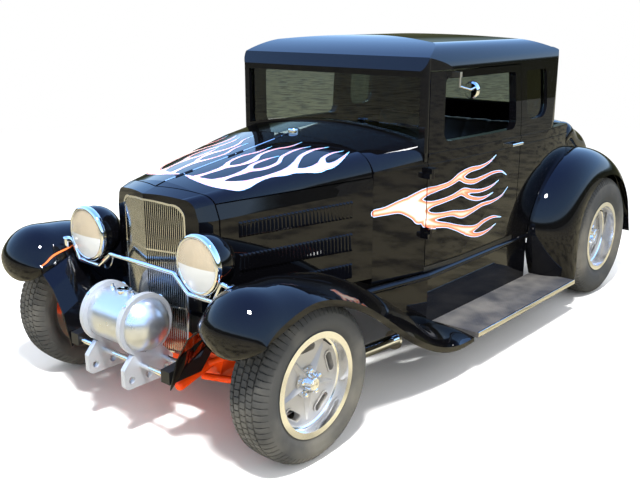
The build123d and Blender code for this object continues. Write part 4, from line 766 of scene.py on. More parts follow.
@dataclass(frozen=True)
class RoadWheel:
    """One wheel: a tyre with cut tread blocks, lug nuts, a chromed cap and a valve."""

    axle: str
    side: Side
    track_half: float
    axle_y: float
    radius: float
    half_width: float
    rim_half: float
    dish: float
    pitches: int
    rim_lip: float = 0.207
    bead_radius: float = 0.1908
    groove: float = 0.0075
    half_groove: float = 0.0022
    groove_room: float = 0.0034
    shoulder: float = 0.022
    shoulder_cut: float = 0.0025
    zigzag: float = 0.0022
    slant: float = 0.35
    ring_height: float = 0.0009
    nuts: int = 5
    nut_circle: float = 0.0495

    @property
    def body(self) -> str:
        """The CAD body that turns with this wheel."""
        return f"wheel_{self.axle}_{self.side.word}"

    @property
    def hub_x(self) -> float:
        """How far out the hub's face lies."""
        return self.track_half + self.rim_half - self.dish + 0.008

    def spot(self, out: float, along: float, up: float) -> Point:
        """A point given by its distance out from the car's middle and its place beside the axle."""
        return self.side.value * out, self.axle_y + along, self.radius + up

    def crown(self) -> list[tuple[float, float]]:
        """The tread's outline from the inner shoulder to the outer one, as place across and radius."""
        half, r = self.half_width, self.radius
        start, end = (-half + self.shoulder, r - 0.016), (-half + 0.044, r - 0.003)
        inner = arc(start, (-half + 0.03, r - 0.009), end, 9)
        middle = arc((-half + 0.044, r - 0.003), (0, r), (half - 0.044, r - 0.003), 17)
        return inner + middle[1:] + [(-x, y) for x, y in reversed(inner)][1:]

    def stations(self) -> list[tuple[float, float, int, bool]]:
        """The section's points: place across, radius, tread row or -1, and whether a long groove is there."""
        half, r, lip = self.half_width, self.radius, self.rim_lip
        bead = self.rim_half - 0.0053
        wall = arc((bead, lip + 0.004), (half, (lip + r) / 2), (half - self.shoulder, r - 0.016), 15)
        rings = {3, 4, 10}
        flush = rings | {0, len(wall) - 1}
        outer = [(x - (0 if i in flush else self.ring_height), y) for i, (x, y) in enumerate(wall)]
        xs, rs = zip(*self.crown())
        reach = half - self.shoulder
        rows: list[tuple[float, float, int, bool]] = []
        edges = [-1.0, -0.6, -0.2, 0.2, 0.6, 1.0]
        for row, (low, high) in enumerate(zip(edges, edges[1:])):
            a = low * reach + (self.groove_room if row else 0.0005)
            b = high * reach - (self.groove_room if row < 4 else 0.0005)
            for k in range(4):
                x = a + (b - a) * k / 3
                rows.append((x, float(np.interp(x, xs, rs)), row, False))
            if row < 4:
                for x in (high * reach - self.half_groove, high * reach + self.half_groove):
                    rows.append((x, float(np.interp(x, xs, rs)), -1, True))
        side_out = [(x, y, 4 if y > r - 0.034 else -1, False) for x, y in reversed(outer)]
        side_in = [(-x, y, 0 if y > r - 0.034 else -1, False) for x, y in outer]
        base = [(bead, self.bead_radius, -1, False), (-bead, self.bead_radius, -1, False)]
        return side_in + rows + side_out + base

    def tyre(self) -> None:
        """Makes the tyre, which stands for its CAD node."""
        shares = (0.0, 0.04, 0.16, 0.2, 0.5, 0.54, 0.66, 0.7)
        table = self.stations()
        reach = self.half_width - self.shoulder
        rows = []
        for pitch in range(self.pitches):
            for step, share in enumerate(shares):
                ring = []
                for x, r, row, long_groove in table:
                    cut = row >= 0 and step in ((5, 6) if row in (1, 3) else (1, 2))
                    outside = abs(x) > reach
                    cross_cut = (self.shoulder_cut if outside else self.groove * 0.85) * cut
                    depth = self.groove if long_groove else cross_cut
                    sway = (1 if step < 4 else -1) * (row % 2 - 0.5)
                    zig = 0.0 if row < 0 or outside else self.zigzag * sway
                    t = 2 * pi * (pitch + share + self.slant * min(1.0, abs(x) / reach)) / self.pitches
                    away = x - (0.0012 if cut and outside else 0.0) * (1 if x > 0 else -1)
                    spread = (r - depth) * cos(t), (r - depth) * sin(t)
                    ring.append(self.spot(self.track_half + away + zig, *spread))
                rows.append(ring)
        shape = Shape()
        shape.skin(rows, ring=True, loop=True)
        name = f"tread_tyre_{self.axle}_{self.side.word}"
        tyre = shape.piece(name, "tyre", self.body, "tyre_rubber", sharp=50.0)
        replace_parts(tyre, f"tyre_{self.axle}_{self.side.word}")

    def bright_parts(self) -> None:
        """Makes the five lug nuts, the stepped cap over the spindle and the valve."""
        shape = Shape()
        out = (self.side.value, 0, 0)
        nut = ((0.0128, 0.0), (0.0128, 0.0015), (0.011, 0.0022), (0.011, 0.013), (0.0098, 0.015))
        top = ((0.0098, 0.015), (0.0092, 0.019), (0.0062, 0.0222), (0.0, 0.0232))
        for i in range(self.nuts):
            t = 2 * pi * i / self.nuts
            along, up = self.nut_circle * sin(t), self.nut_circle * cos(t)
            place = facing(self.spot(self.hub_x, along, up), out)
            shape.turned(nut, place, count=6, twist=t)
            shape.turned(top, place, count=24)
        cap = (
            (0.0385, 0.0), (0.0388, 0.0028), (0.0352, 0.0042), (0.0345, 0.006), (0.0316, 0.014),
            (0.0258, 0.0296), (0.0246, 0.0335), (0.0226, 0.0352), (0.0164, 0.0362), (0.0158, 0.0375),
            (0.008, 0.0388), (0.0, 0.0392),
        )
        shape.turned(cap, facing(self.spot(self.hub_x, 0, 0), out), count=64)
        shape.piece(f"lug_nuts_{self.axle}_{self.side.word}", "chrome", self.body, "chrome_plate", sharp=30.0)
        stem = Shape()
        start = self.hub_x - 0.004
        t = radians(36)
        path = [(start - 0.008, 0.172), (start + 0.002, 0.170), (start + 0.02, 0.165), (start + 0.036, 0.160)]
        stem.rod([self.spot(x, r * sin(t), r * cos(t)) for x, r in path], [0.0055, 0.0048, 0.0038, 0.0036])
        stem.piece(f"valve_{self.axle}_{self.side.word}", "tyre", self.body, "tyre_rubber")

    def build(self) -> None:
        """Makes every piece of the wheel."""
        self.tyre()
        self.bright_parts()


def fit_wheels() -> None:
    """Makes what goes on the four wheels."""
    for side in Side:
        RoadWheel("front", side, 0.705, -1.3145, 0.314, 0.099, 0.0825, 0.056, 74).build()
        RoadWheel("rear", side, 0.686, 1.3145, 0.3555, 0.114, 0.1, 0.084, 84).build()


# Painted flames and stripes


@dataclass(frozen=True)
class Skin:
    """The CAD panels that paint goes on, found by rays."""

    nodes: tuple[str, ...]
    lift: float = 0.0004

    def trees(self) -> list[tuple[str, BVHTree]]:
        """A search tree for each panel."""
        found = []
        for name in self.nodes:
            mesh = frame["nodes"][name].data
            corners = [v.co for v in mesh.vertices]
            found.append((name, BVHTree.FromPolygons(corners, [p.vertices for p in mesh.polygons])))
        return found

    def hits(self, starts: Sequence[Vector], ray: Vector) -> list[tuple[str, Vector] | None]:
        """Casts rays onto the panels.

        Args:
            starts: Where each ray starts.
            ray: The direction of them all.

        Returns:
            The nearest panel and the point just above it, or None, for each ray.
        """
        trees = self.trees()
        found: list[tuple[str, Vector] | None] = []
        for start in starts:
            best, nearest = None, 1e9
            for name, tree in trees:
                spot, normal, _, distance = tree.ray_cast(start, ray)
                if spot is not None and distance < nearest:
                    out = normal if normal.dot(ray) < 0 else -normal
                    best, nearest = (name, spot + out * self.lift), distance
            found.append(best)
        return found


def smooth_line(stations: Sequence[Sequence[float]], step: float, axes: int = 2) -> np.ndarray:
    """Points along a smooth curve through stations.

    Args:
        stations: The rows that it passes.
        step: How far apart the points are.
        axes: How many of a row's values are its place; the others follow them.

    Returns:
        One row for each point.
    """
    rows = np.array(stations, dtype=float)
    ends = np.vstack([2 * rows[0] - rows[1], rows, 2 * rows[-1] - rows[-2]])
    points = []
    for a, b, c, d in zip(ends, ends[1:], ends[2:], ends[3:]):
        count = max(2, int(np.linalg.norm((c - b)[:axes]) / step))
        bend = 2 * a - 5 * b + 4 * c - d
        swing = 3 * b - a - 3 * c + d
        for t in np.arange(count) / count:
            points.append(0.5 * (2 * b + (c - a) * t + bend * t ** 2 + swing * t ** 3))
    points.append(rows[-1])
    return np.array(points)


@dataclass(frozen=True)
class FlamePaint:
    """Flames on a set of panels, as licks drawn in a plane and cast onto the skin."""

    name: str
    skin: Skin
    licks: tuple[tuple[tuple[float, float, float], ...], ...]
    place: Callable[[float, float], Vector]
    ray: Vector
    finish: str = "flames"
    breaks: tuple[float, ...] = ()
    cell: float = 0.0035
    blend: float = 0.0035
    margin: float = 0.004

    def depth(self, spots: np.ndarray) -> np.ndarray:
        """How far points lie inside the flames, with the forks between licks rounded.

        Args:
            spots: The points, one in each row.

        Returns:
            One depth for each point, below 0 outside the flames.
        """
        total = np.zeros(len(spots))
        for lick in self.licks:
            line = smooth_line(lick, 0.003)
            best = np.full(len(spots), -1.0)
            for x, y, half in line:
                best = np.maximum(best, half - np.hypot(spots[:, 0] - x, spots[:, 1] - y))
            total += np.exp(np.clip(best / self.blend, -60, 60))
        return self.blend * np.log(total + 1e-30)

    def lines(self, axis: int) -> np.ndarray:
        """The grid's lines along one axis, with those of the panels' edges put in."""
        values = [row[axis] for lick in self.licks for row in lick]
        grid = np.arange(min(values) - 0.06, max(values) + 0.06, self.cell)
        if axis == 0 and self.breaks:
            grid = np.array([g for g in grid if all(abs(g - b) > self.cell / 2 for b in self.breaks)])
            grid = np.sort(np.concatenate([grid, self.breaks]))
        return grid

    def build(self) -> None:
        """Makes one film of paint for each CAD body under the flames."""
        us, vs = self.lines(0), self.lines(1)
        spots = np.array([(u, v) for u in us for v in vs])
        depths = self.depth(spots)
        wanted = np.nonzero(depths > -self.margin - 2 * self.cell)[0]
        found = self.skin.hits([self.place(*spots[i]) for i in wanted], self.ray)
        at = {int(i): hit for i, hit in zip(wanted, found) if hit}
        m = len(vs)
        for node in self.skin.nodes:
            shape, numbers, layer = Shape(), {}, []
            for i in range(len(us) - 1):
                for j in range(m - 1):
                    square = (i * m + j, (i + 1) * m + j, (i + 1) * m + j + 1, i * m + j + 1)
                    if any(k not in at or at[k][0] != node for k in square):
                        continue
                    if max(depths[k] for k in square) < -self.margin:
                        continue
                    for k in square:
                        if k not in numbers:
                            numbers[k] = len(shape.points)
                            shape.points.append(at[k][1])
                            layer.append(float(depths[k]))
                    shape.faces.append(tuple(numbers[k] for k in square))
            if shape.faces:
                body = frame["nodes"][node]["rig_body"]
                shape.piece(f"{self.name}_{node}", self.finish, body, "body_paint", sharp=60.0, layer=layer)


# The licks in the side's plane: place along the car, height and half width
SIDE_LICKS = (
    ((-0.604, 0.800, 0.0165), (-0.54, 0.802, 0.019), (-0.46, 0.810, 0.030), (-0.40, 0.802, 0.045),
     (-0.35, 0.778, 0.050)),
    ((-0.39, 0.825, 0.030), (-0.31, 0.856, 0.020), (-0.22, 0.864, 0.013), (-0.13, 0.874, 0.012),
     (-0.05, 0.900, 0.017),
     (0.03, 0.919, 0.012), (0.12, 0.922, 0.008), (0.20, 0.937, 0.005), (0.26, 0.964, 0.001)),
    ((-0.05, 0.895, 0.016), (0.0, 0.868, 0.012), (0.07, 0.857, 0.012), (0.15, 0.866, 0.009),
     (0.24, 0.877, 0.0065),
     (0.32, 0.872, 0.004), (0.375, 0.848, 0.001)),
    ((-0.34, 0.785, 0.038), (-0.27, 0.793, 0.016), (-0.19, 0.797, 0.011), (-0.10, 0.806, 0.0115),
     (-0.02, 0.820, 0.015),
     (0.05, 0.811, 0.010), (0.13, 0.801, 0.008), (0.22, 0.807, 0.0055), (0.30, 0.829, 0.001)),
    ((-0.02, 0.813, 0.014), (0.03, 0.784, 0.010), (0.10, 0.764, 0.009), (0.17, 0.760, 0.006),
     (0.25, 0.773, 0.001)),
    ((-0.34, 0.752, 0.040), (-0.27, 0.735, 0.021), (-0.19, 0.729, 0.013), (-0.10, 0.724, 0.013),
     (-0.02, 0.706, 0.019),
     (0.06, 0.711, 0.012), (0.15, 0.726, 0.009), (0.25, 0.728, 0.0065), (0.34, 0.743, 0.004),
     (0.40, 0.778, 0.001)),
    ((-0.30, 0.715, 0.026), (-0.22, 0.690, 0.016), (-0.14, 0.672, 0.012), (-0.06, 0.645, 0.015),
     (0.02, 0.619, 0.021),
     (0.10, 0.617, 0.0135), (0.18, 0.636, 0.009), (0.27, 0.641, 0.006), (0.36, 0.624, 0.001)),
    ((0.02, 0.611, 0.018), (0.08, 0.584, 0.012), (0.15, 0.572, 0.010), (0.23, 0.576, 0.0065),
     (0.31, 0.597, 0.001)),
)


def paint_sides() -> None:
    """Paints the flames that run from the cowl along each door."""
    for side in Side:
        door = f"door_{side.word}"
        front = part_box(door)[0][1]
        FlamePaint(
            f"flames_{side.word}", Skin(("cowl", "hood_sides", door)), SIDE_LICKS,
            lambda y, z, s=side.value: Vector((s * 1.2, y, z)), Vector((-side.value, 0, 0)),
            breaks=(front - 0.0042, front + 0.0003),
        ).build()


# The licks on a hood top, seen from above: place out from the ridge, along the car and half width
TOP_LICKS = (
    ((0.022, -1.262, 0.004), (0.075, -1.266, 0.013), (0.135, -1.262, 0.023), (0.200, -1.246, 0.030),
     (0.250, -1.212, 0.034), (0.276, -1.165, 0.024), (0.286, -1.115, 0.013)),
    ((0.070, -1.262, 0.013), (0.085, -1.190, 0.009), (0.090, -1.110, 0.014), (0.060, -1.050, 0.0075),
     (0.050, -0.970, 0.0070), (0.075, -0.890, 0.0055), (0.075, -0.800, 0.0010)),
    ((0.090, -1.110, 0.013), (0.128, -1.050, 0.0085), (0.135, -0.980, 0.014), (0.110, -0.910, 0.0075),
     (0.115, -0.830, 0.0062), (0.150, -0.760, 0.0050), (0.155, -0.690, 0.0010)),
    ((0.170, -1.250, 0.026), (0.185, -1.170, 0.0095), (0.195, -1.080, 0.016), (0.170, -1.020, 0.0080),
     (0.172, -0.950, 0.0060), (0.190, -0.880, 0.0010)),
    ((0.195, -1.080, 0.014), (0.235, -1.020, 0.0095), (0.240, -0.940, 0.0085), (0.205, -0.870, 0.0070),
     (0.200, -0.780, 0.0055), (0.225, -0.710, 0.0010)),
    ((0.286, -1.115, 0.013), (0.300, -1.050, 0.0115), (0.323, -0.960, 0.022), (0.293, -0.880, 0.0120),
     (0.263, -0.810, 0.0095), (0.263, -0.730, 0.0065), (0.293, -0.665, 0.0010)),
    ((0.323, -0.960, 0.020), (0.362, -0.905, 0.0120), (0.384, -0.830, 0.019), (0.350, -0.770, 0.0085),
     (0.346, -0.710, 0.0052), (0.368, -0.655, 0.0010)),
    ((0.384, -0.835, 0.018), (0.408, -0.775, 0.0100), (0.407, -0.710, 0.0060), (0.392, -0.645, 0.0010)),
)


def paint_tops() -> None:
    """Paints the flames that spread back over each hood top."""
    for side in Side:
        FlamePaint(
            f"hood_flames_{side.word}", Skin((f"hood_top_{side.word}",)), TOP_LICKS,
            lambda x, y, s=side.value: Vector((s * x, y, 2.0)), Vector((0, 0, -1)), finish="pale_flames",
        ).build()


@dataclass(frozen=True)
class Pinstripe:
    """A brushed stripe that follows a line over a panel."""

    name: str
    skin: Skin
    line: tuple[Point, ...]
    ray: Vector
    finish: str = "stripe"
    half_width: float = 0.0018

    def build(self) -> None:
        """Makes the stripe on both sides of the car."""
        for side in Side:
            shape = Shape()
            spots = [Vector((side.value * x, y, z)) for x, y, z in self.route()]
            across = self.ray.cross(spots[-1] - spots[0]).normalized() * self.half_width
            rows = []
            for sign in (-1, 1):
                rows.append(self.skin.hits([p + sign * across - 0.5 * self.ray for p in spots], self.ray))
            for (a, b), (c, d) in zip(zip(*rows), list(zip(*rows))[1:]):
                if a and b and c and d:
                    shape.add([a[1], b[1], d[1], c[1]], [(0, 1, 2, 3)])
            if shape.faces:
                shape.piece(f"{self.name}_{side.word}", self.finish, "body", "body_paint", sharp=60.0)

    def route(self) -> np.ndarray:
        """The stripe's middle as close points."""
        return smooth_line(self.line, 0.008)


def stripe_fenders() -> None:
    """Draws the stripe along the inner edge of each front fender's crown."""
    x = 0.512
    crown = (
        (-1.66, 0.55), (-1.60, 0.58), (-1.51, 0.62), (-1.37, 0.67), (-1.28, 0.67), (-1.19, 0.65),
        (-1.10, 0.60), (-1.02, 0.55),
    )
    fenders = Skin(("fender_front_left", "fender_front_right"))
    Pinstripe("fender_stripe", fenders, tuple((x, y, z) for y, z in crown), Vector((0, 0, -1))).build()


@dataclass(frozen=True)
class Louvers:
    """The pressed louvers of the hood's sides, full and round-ended over the plain wedges of the CAD."""

    front_y: float = -1.25
    rear_y: float = -0.735
    count: int = 30
    length: float = 0.0143
    height: float = 0.0078
    rows: tuple[tuple[float, float, float, float], ...] = (
        (0.787, 0.853, 0.795, 0.871), (0.646, 0.719, 0.646, 0.728), (0.521, 0.587, 0.521, 0.591),
    )
    section: tuple[tuple[float, float], ...] = (
        (0.0, 0.0), (0.12, 0.16), (0.3, 0.4), (0.5, 0.64), (0.7, 0.84), (0.88, 0.97), (0.96, 1.0),
        (0.985, 0.93), (0.97, 0.2), (0.97, 0.0),
    )
    levels: int = 15
    gap: float = 0.0024
    round_end: float = 0.009
    sink: float = 0.0002

    def build(self) -> None:
        """Makes every louver of both sides."""
        shape = Shape()
        skin = Skin(("hood_sides",), lift=0.0)
        pitch = (self.rear_y - self.front_y) / (self.count - 1)
        for side in Side:
            for i in range(self.count):
                share = i / (self.count - 1)
                start = self.front_y + share * (self.rear_y - self.front_y) - self.gap
                for low_a, high_a, low_b, high_b in self.rows:
                    low = low_a + share * (low_b - low_a)
                    high = high_a + share * (high_b - high_a)
                    turns = (pi * k / (self.levels - 1) for k in range(self.levels))
                    heights = [low + (high - low) * (1 - cos(t)) / 2 for t in turns]
                    lines = []
                    for y in (start, start + pitch):
                        starts = [Vector((side.value * 1.2, y, z)) for z in heights]
                        lines.append(skin.hits(starts, Vector((-side.value, 0, 0))))
                    if any(hit is None for line in lines for hit in line):
                        continue
                    front, rear = ([hit[1] for hit in line] for line in lines)
                    self.press(shape, front, rear, low, high, side)
        shape.piece("hood_louvers", "lacquer", "body", "body_paint", sharp=40.0)

    def press(
        self, shape: Shape, front: list[Vector], rear: list[Vector], low: float, high: float, side: Side
    ) -> None:
        """Adds one louver.

        Args:
            shape: What it is added to.
            front: Points up the sheet just ahead of it.
            rear: Points up the sheet just behind it.
            low: Its low end.
            high: Its high end.
            side: The side of the car.
        """
        rows = []
        for a, b in zip(front, rear):
            along = (b - a).normalized()
            out = Vector((side.value, 0, 0)) - along * along.x * side.value
            out.normalize()
            inset = min(a.z - low, high - a.z)
            short = max(0.0, 1 - max(inset, 0.0) / self.round_end)
            swell = self.height * (1 - short ** 2) ** 0.5
            rows.append([
                a + along * (self.gap + self.length * x) + out * (swell * h - self.sink)
                for x, h in self.section
            ])
        shape.skin(rows, ring=False, loop=False)


# Lamps, tank and trim


@dataclass(frozen=True)
class Headlamp:
    """A headlamp: black bowl, rolled bezel, bright reflector with its bulb, and a fluted lens."""

    side: Side
    x: float = 0.356
    y: float = -1.514
    z: float = 0.740
    radius: float = 0.121
    bowl_radius: float = 0.1146
    mirror_radius: float = 0.1042

    @property
    def place(self) -> Matrix:
        """The lamp's frame, looking rearwards."""
        return facing((self.side.value * self.x, self.y, self.z), (0, 1, 0))

    def build(self, bowls: Shape, bezels: Shape, mirrors: Shape, lenses: Shape) -> None:
        """Adds this lamp to the pieces that both lamps share.

        Args:
            bowls: The black bowls.
            bezels: The chromed rims and their clamps.
            mirrors: The reflectors and bulb shields.
            lenses: The glass.
        """
        rise = [radians(-12.3 + 102.3 * i / 20) for i in range(21)]
        bowl = [(self.bowl_radius * cos(t), 0.0504 + self.bowl_radius * sin(t)) for t in rise]
        bowls.turned([(0.104, 0.024), (0.1125, 0.025)] + bowl, self.place, 72)
        bezel = (
            (0.1045, 0.012), (0.1042, 0.0025), (0.1055, 0.0008), (0.1085, 0.0), (0.1125, 0.0008),
            (0.117, 0.0035), (0.1198, 0.0075), (0.121, 0.0125), (0.121, 0.021), (0.1198, 0.0245),
            (0.117, 0.0262), (0.113, 0.0268), (0.1105, 0.026), (0.104, 0.026),
        )
        bezels.turned(bezel, self.place, 96)
        clamp = facing((self.side.value * self.x, self.y + 0.014, self.z - self.radius + 0.002), (0, 0, -1))
        screw = ((0.0, -0.004), (0.006, -0.004), (0.006, 0.0012), (0.0045, 0.0035), (0.0, 0.0038))
        bezels.turned(screw, clamp, 24)
        reach = [self.mirror_radius * (1 - i / 24) for i in range(25)]
        dish = [(r, 0.012 + 0.085 * (1 - (r / self.mirror_radius) ** 2)) for r in reach]
        mirrors.turned(dish, self.place, 72)
        mirrors.turned(((0.0, 0.022), (0.009, 0.024), (0.011, 0.03), (0.011, 0.046)), self.place, 32)
        mirrors.turned(((0.0045, 0.046), (0.0045, 0.096)), self.place, 16)
        front = arc((0.1044, 0.004), (0.0535, -0.0066), (0.0, -0.0099), 22)
        back = [(r, h + 0.0035) for r, h in reversed(front)]
        lenses.turned(front + back, self.place, 72)


def fit_headlamps() -> None:
    """Makes both headlamps, which stand for their CAD nodes."""
    bowls, bezels, mirrors, lenses = Shape(), Shape(), Shape(), Shape()
    for side in Side:
        Headlamp(side).build(bowls, bezels, mirrors, lenses)
    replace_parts(bowls.piece("headlamp_bowls", "lacquer", "body", "body_paint"), "headlamps")
    bezels.piece("headlamp_bezels", "chrome", "body", "chrome_plate", sharp=50.0)
    mirrors.piece("headlamp_reflectors", "silver", "body", "chrome_plate")
    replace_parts(lenses.piece("headlamp_glass", "lens", "body", "clear_glass", sharp=60.0), "headlamp_lenses")


@dataclass(frozen=True)
class TankFittings:
    """What stands on the front tank: a ribbed filler cap, two unions and the ring brackets' bolts."""

    y: float = -1.586
    z: float = 0.470
    radius: float = 0.108
    ring_x: float = 0.120
    ring_radius: float = 0.128
    cap_steps: int = 72
    union_x: float = 0.066
    union_lean: float = 4.0
    bolt_angle: float = 42.0
    seam_x: float = 0.1345

    def cap(self, shape: Shape) -> None:
        """Adds the filler cap's ribbed skirt and crown.

        Args:
            shape: What they are added to.
        """
        place = facing((0, self.y, self.z + self.radius + 0.0122), (0, 0, 1))
        rows = []
        for i in range(self.cap_steps):
            t = 2 * pi * i / self.cap_steps
            skirt = 0.0302 if i % 2 else 0.0308
            profile = (
                (0.0302, -0.014), (skirt, -0.0125), (skirt, -0.002), (0.029, 0.0004), (0.022, 0.0014),
                (0.0, 0.0018),
            )
            rows.append([(r * cos(t), r * sin(t), h) for r, h in profile])
        shape.skin(rows, ring=True, loop=False, place=place)

    def union(self, shape: Shape, x: float) -> None:
        """Adds a hexagon union with its pipe stub on the tank's top.

        Args:
            shape: What it is added to.
            x: Its place across the car.
        """
        lean = radians(self.union_lean)
        axis = Vector((0, -sin(lean), cos(lean)))
        base = Vector((x, self.y, self.z)) + axis * (self.radius - 0.002)
        place = facing(base, axis)
        nut = (
            (0.012, 0.0), (0.012, 0.002), (0.0098, 0.003), (0.0098, 0.011), (0.0085, 0.0125), (0.0, 0.0125),
        )
        stub = ((0.0055, 0.012), (0.0055, 0.02), (0.0066, 0.0208), (0.0066, 0.024), (0.0, 0.0245))
        shape.turned(nut, place, count=6)
        shape.turned(stub, place, 24)

    def build(self) -> None:
        """Makes the bright fittings and the bracket bolts."""
        shape = Shape()
        self.cap(shape)
        for x in (self.union_x, -self.union_x):
            self.union(shape, x)
        shape.piece("tank_cap_and_unions", "chrome", "body", "polished_aluminium", sharp=30.0)
        bolts = Shape()
        head = ((0.0085, 0.0), (0.0085, 0.0045), (0.007, 0.006), (0.0, 0.0062))
        for sign in (-1, 1):
            for step in (-1, 1):
                lean = radians(self.bolt_angle * step)
                axis = Vector((0, sin(lean), cos(lean)))
                spot = Vector((sign * self.ring_x, self.y, self.z)) + axis * (self.ring_radius - 0.001)
                bolts.turned(head, facing(spot, axis), 6)
        bolts.piece("bracket_bolts", "chrome", "body", "cast_aluminium", sharp=30.0)
        welds = Shape()
        for sign in (-1, 1):
            place = facing((sign * self.seam_x, self.y, self.z), (sign, 0, 0))
            ring = [(self.radius + 0.0016 * cos(t), 0.0022 * sin(t)) for t in np.linspace(0, pi, 7)]
            welds.turned(ring, place, 96)
        welds.piece("tank_seams", "tank", "body", "polished_aluminium")


@dataclass(frozen=True)
class BoardTrim:
    """The bright rolled edge round a running board's mat."""

    outer_x: float = 0.853
    front_y: float = -0.245
    rear_y: float = 0.807
    top_z: float = 0.217
    steps: int = 42

    def build(self) -> None:
        """Makes the edging of both boards."""
        shape = Shape()
        section = (
            (-0.0075, 0.0), (-0.007, 0.0014), (-0.001, 0.0018), (0.0008, 0.0008), (0.0012, -0.004),
            (0.0012, -0.019), (0.0004, -0.0215), (-0.002, -0.0225),
        )
        for side in Side:
            rows = []
            for i in range(self.steps + 1):
                y = self.front_y + (self.rear_y - self.front_y) * i / self.steps
                rows.append([(side.value * (self.outer_x + out), y, self.top_z + up) for out, up in section])
            shape.skin(rows, ring=False, loop=False)
        shape.piece("running_board_edges", "stainless", "body", "polished_steel", sharp=40.0)


@dataclass(frozen=True)
class LampConduit:
    """The wire's ribbed metal conduit, from under each headlamp into the radiator shell's side."""

    radius: float = 0.0048
    waist: float = 0.86
    rib_mm: float = 2.6
    route: tuple[Point, ...] = (
        (0.335, -1.43, 0.632), (0.345, -1.435, 0.60), (0.33, -1.442, 0.578), (0.30, -1.446, 0.585),
        (0.275, -1.446, 0.61), (0.268, -1.44, 0.64),
    )
    ferrule: tuple[tuple[float, float], ...] = (
        (0.0, -0.004), (0.0068, -0.004), (0.0074, -0.002), (0.0074, 0.008), (0.006, 0.010),
    )

    def build(self) -> None:
        """Makes both conduits with their end ferrules."""
        shape = Shape()
        route = smooth_line(self.route, self.rib_mm * MM / 2, axes=3)[:-1]
        radii = [self.radius * (1.0 if i % 2 else self.waist) for i in range(len(route))]
        for side in Side:
            spots = [Vector((side.value * x, y, z)) for x, y, z in route]
            shape.rod(spots, radii, 14)
            for end, inwards in ((spots[0], spots[4]), (spots[-1], spots[-5])):
                shape.turned(self.ferrule, facing(end, inwards - end), 20)
        shape.piece("lamp_conduits", "stainless", "body", "polished_steel", sharp=60.0)


# Cabin


@dataclass(frozen=True)
class Bench:
    """The upholstered bench: a crowned cushion and back with sewn channels, swelled as foam swells."""

    front_y: float = 0.180
    depth: float = 0.480
    base_z: float = 0.5043
    height: float = 0.300
    half_width: float = 0.540
    channels: int = 8
    voxel: float = 0.014
    swell: float = 0.024
    room: float = 0.03
    pressure: float = 4.0
    frames: int = 20
    channel_depth: float = 0.010
    channel_bend: int = 10
    plain_edge: float = 0.06

    def block(self, outline: Sequence[tuple[float, float]], name: str) -> bpy.types.Object:
        """Makes a pad by running an outline across the car, a little small to leave room to swell.

        Args:
            outline: The pad's section, as place along the car and height.
            name: The pad's name.

        Returns:
            The pad.
        """
        half = self.half_width - self.room
        mesh = bpy.data.meshes.new(name)
        work = bmesh.new()
        ends = [[work.verts.new((sign * half, y, z)) for y, z in outline] for sign in (-1, 1)]
        n = len(outline)
        work.faces.new(ends[0])
        work.faces.new(ends[1][::-1])
        for i in range(n):
            work.faces.new((ends[0][i], ends[1][i], ends[1][(i + 1) % n], ends[0][(i + 1) % n]))
        bmesh.ops.recalc_face_normals(work, faces=work.faces)
        work.to_mesh(mesh)
        work.free()
        pad = bpy.data.objects.new(name, mesh)
        bpy.context.scene.collection.objects.link(pad)
        return pad

    def apply(self, pad: bpy.types.Object) -> None:
        """Applies every modifier of a pad."""
        graph = bpy.context.evaluated_depsgraph_get()
        done = bpy.data.meshes.new_from_object(pad.evaluated_get(graph))
        pad.modifiers.clear()
        pad.data = done

    def fill(self, pad: bpy.types.Object) -> None:
        """Swells a pad by cloth pressure, holding each point within the swell.

        Args:
            pad: The pad.
        """
        remesh = pad.modifiers.new("voxels", "REMESH")
        remesh.mode = "VOXEL"
        remesh.voxel_size = self.voxel
        self.apply(pad)
        rest = [v.co.copy() for v in pad.data.vertices]
        cloth = pad.modifiers.new("foam", "CLOTH")
        cloth.settings.use_pressure = True
        cloth.settings.uniform_pressure_force = self.pressure
        cloth.settings.effector_weights.gravity = 0.0
        for frame_number in range(1, self.frames + 1):
            bpy.context.scene.frame_set(frame_number)
        self.apply(pad)
        bpy.context.scene.frame_set(1)
        for vertex, start in zip(pad.data.vertices, rest):
            move = vertex.co - start
            if move.length > self.swell:
                vertex.co = start + move.normalized() * self.swell

    def sew(self, pad: bpy.types.Object) -> None:
        """Presses the sewn channels into the pad's faces and rounds it with one subdivision.

        Args:
            pad: The pad.
        """
        pitch = 2 * self.half_width / self.channels
        normals = [v.normal.copy() for v in pad.data.vertices]
        for vertex, normal in zip(pad.data.vertices, normals):
            beside = abs((vertex.co.x + self.half_width) / pitch % 1.0 - 0.5) * 2
            if abs(vertex.co.x) < self.half_width - self.plain_edge:
                vertex.co -= normal * self.channel_depth * beside ** self.channel_bend
        smooth = pad.modifiers.new("round", "SUBSURF")
        smooth.levels = 1
        smooth.render_levels = 1
        self.apply(pad)
        pad.data.polygons.foreach_set("use_smooth", [True] * len(pad.data.polygons))

    def build(self) -> None:
        """Makes both pads, which stand for the CAD seat."""
        y, z, h, d = self.front_y, self.base_z, self.height, self.depth
        cushion = (
            (y + 0.05, z + 0.012), (y + 0.022, z + 0.12), (y + 0.022, z + h - 0.06),
            (y + 0.055, z + h - 0.026), (y + d - 0.01, z + h - 0.062), (y + d + 0.05, z + 0.012),
        )
        back = (
            (y + d + 0.02, z + h - 0.04), (y + d + 0.118, z + 0.585), (y + d + 0.20, z + 0.578),
            (y + d + 0.125, z + 0.03), (y + d + 0.085, z + 0.03),
        )
        for name, outline in (("seat_cushion", cushion), ("seat_back", back)):
            pad = self.block(outline, name)
            self.fill(pad)
            self.sew(pad)
            pad.data.materials.clear()
            pad.data.materials.append(FINISHES.get("leather"))
            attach(pad, "body")
            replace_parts(pad, "seat")
            log.info("%s: %d faces", name, len(pad.data.polygons))


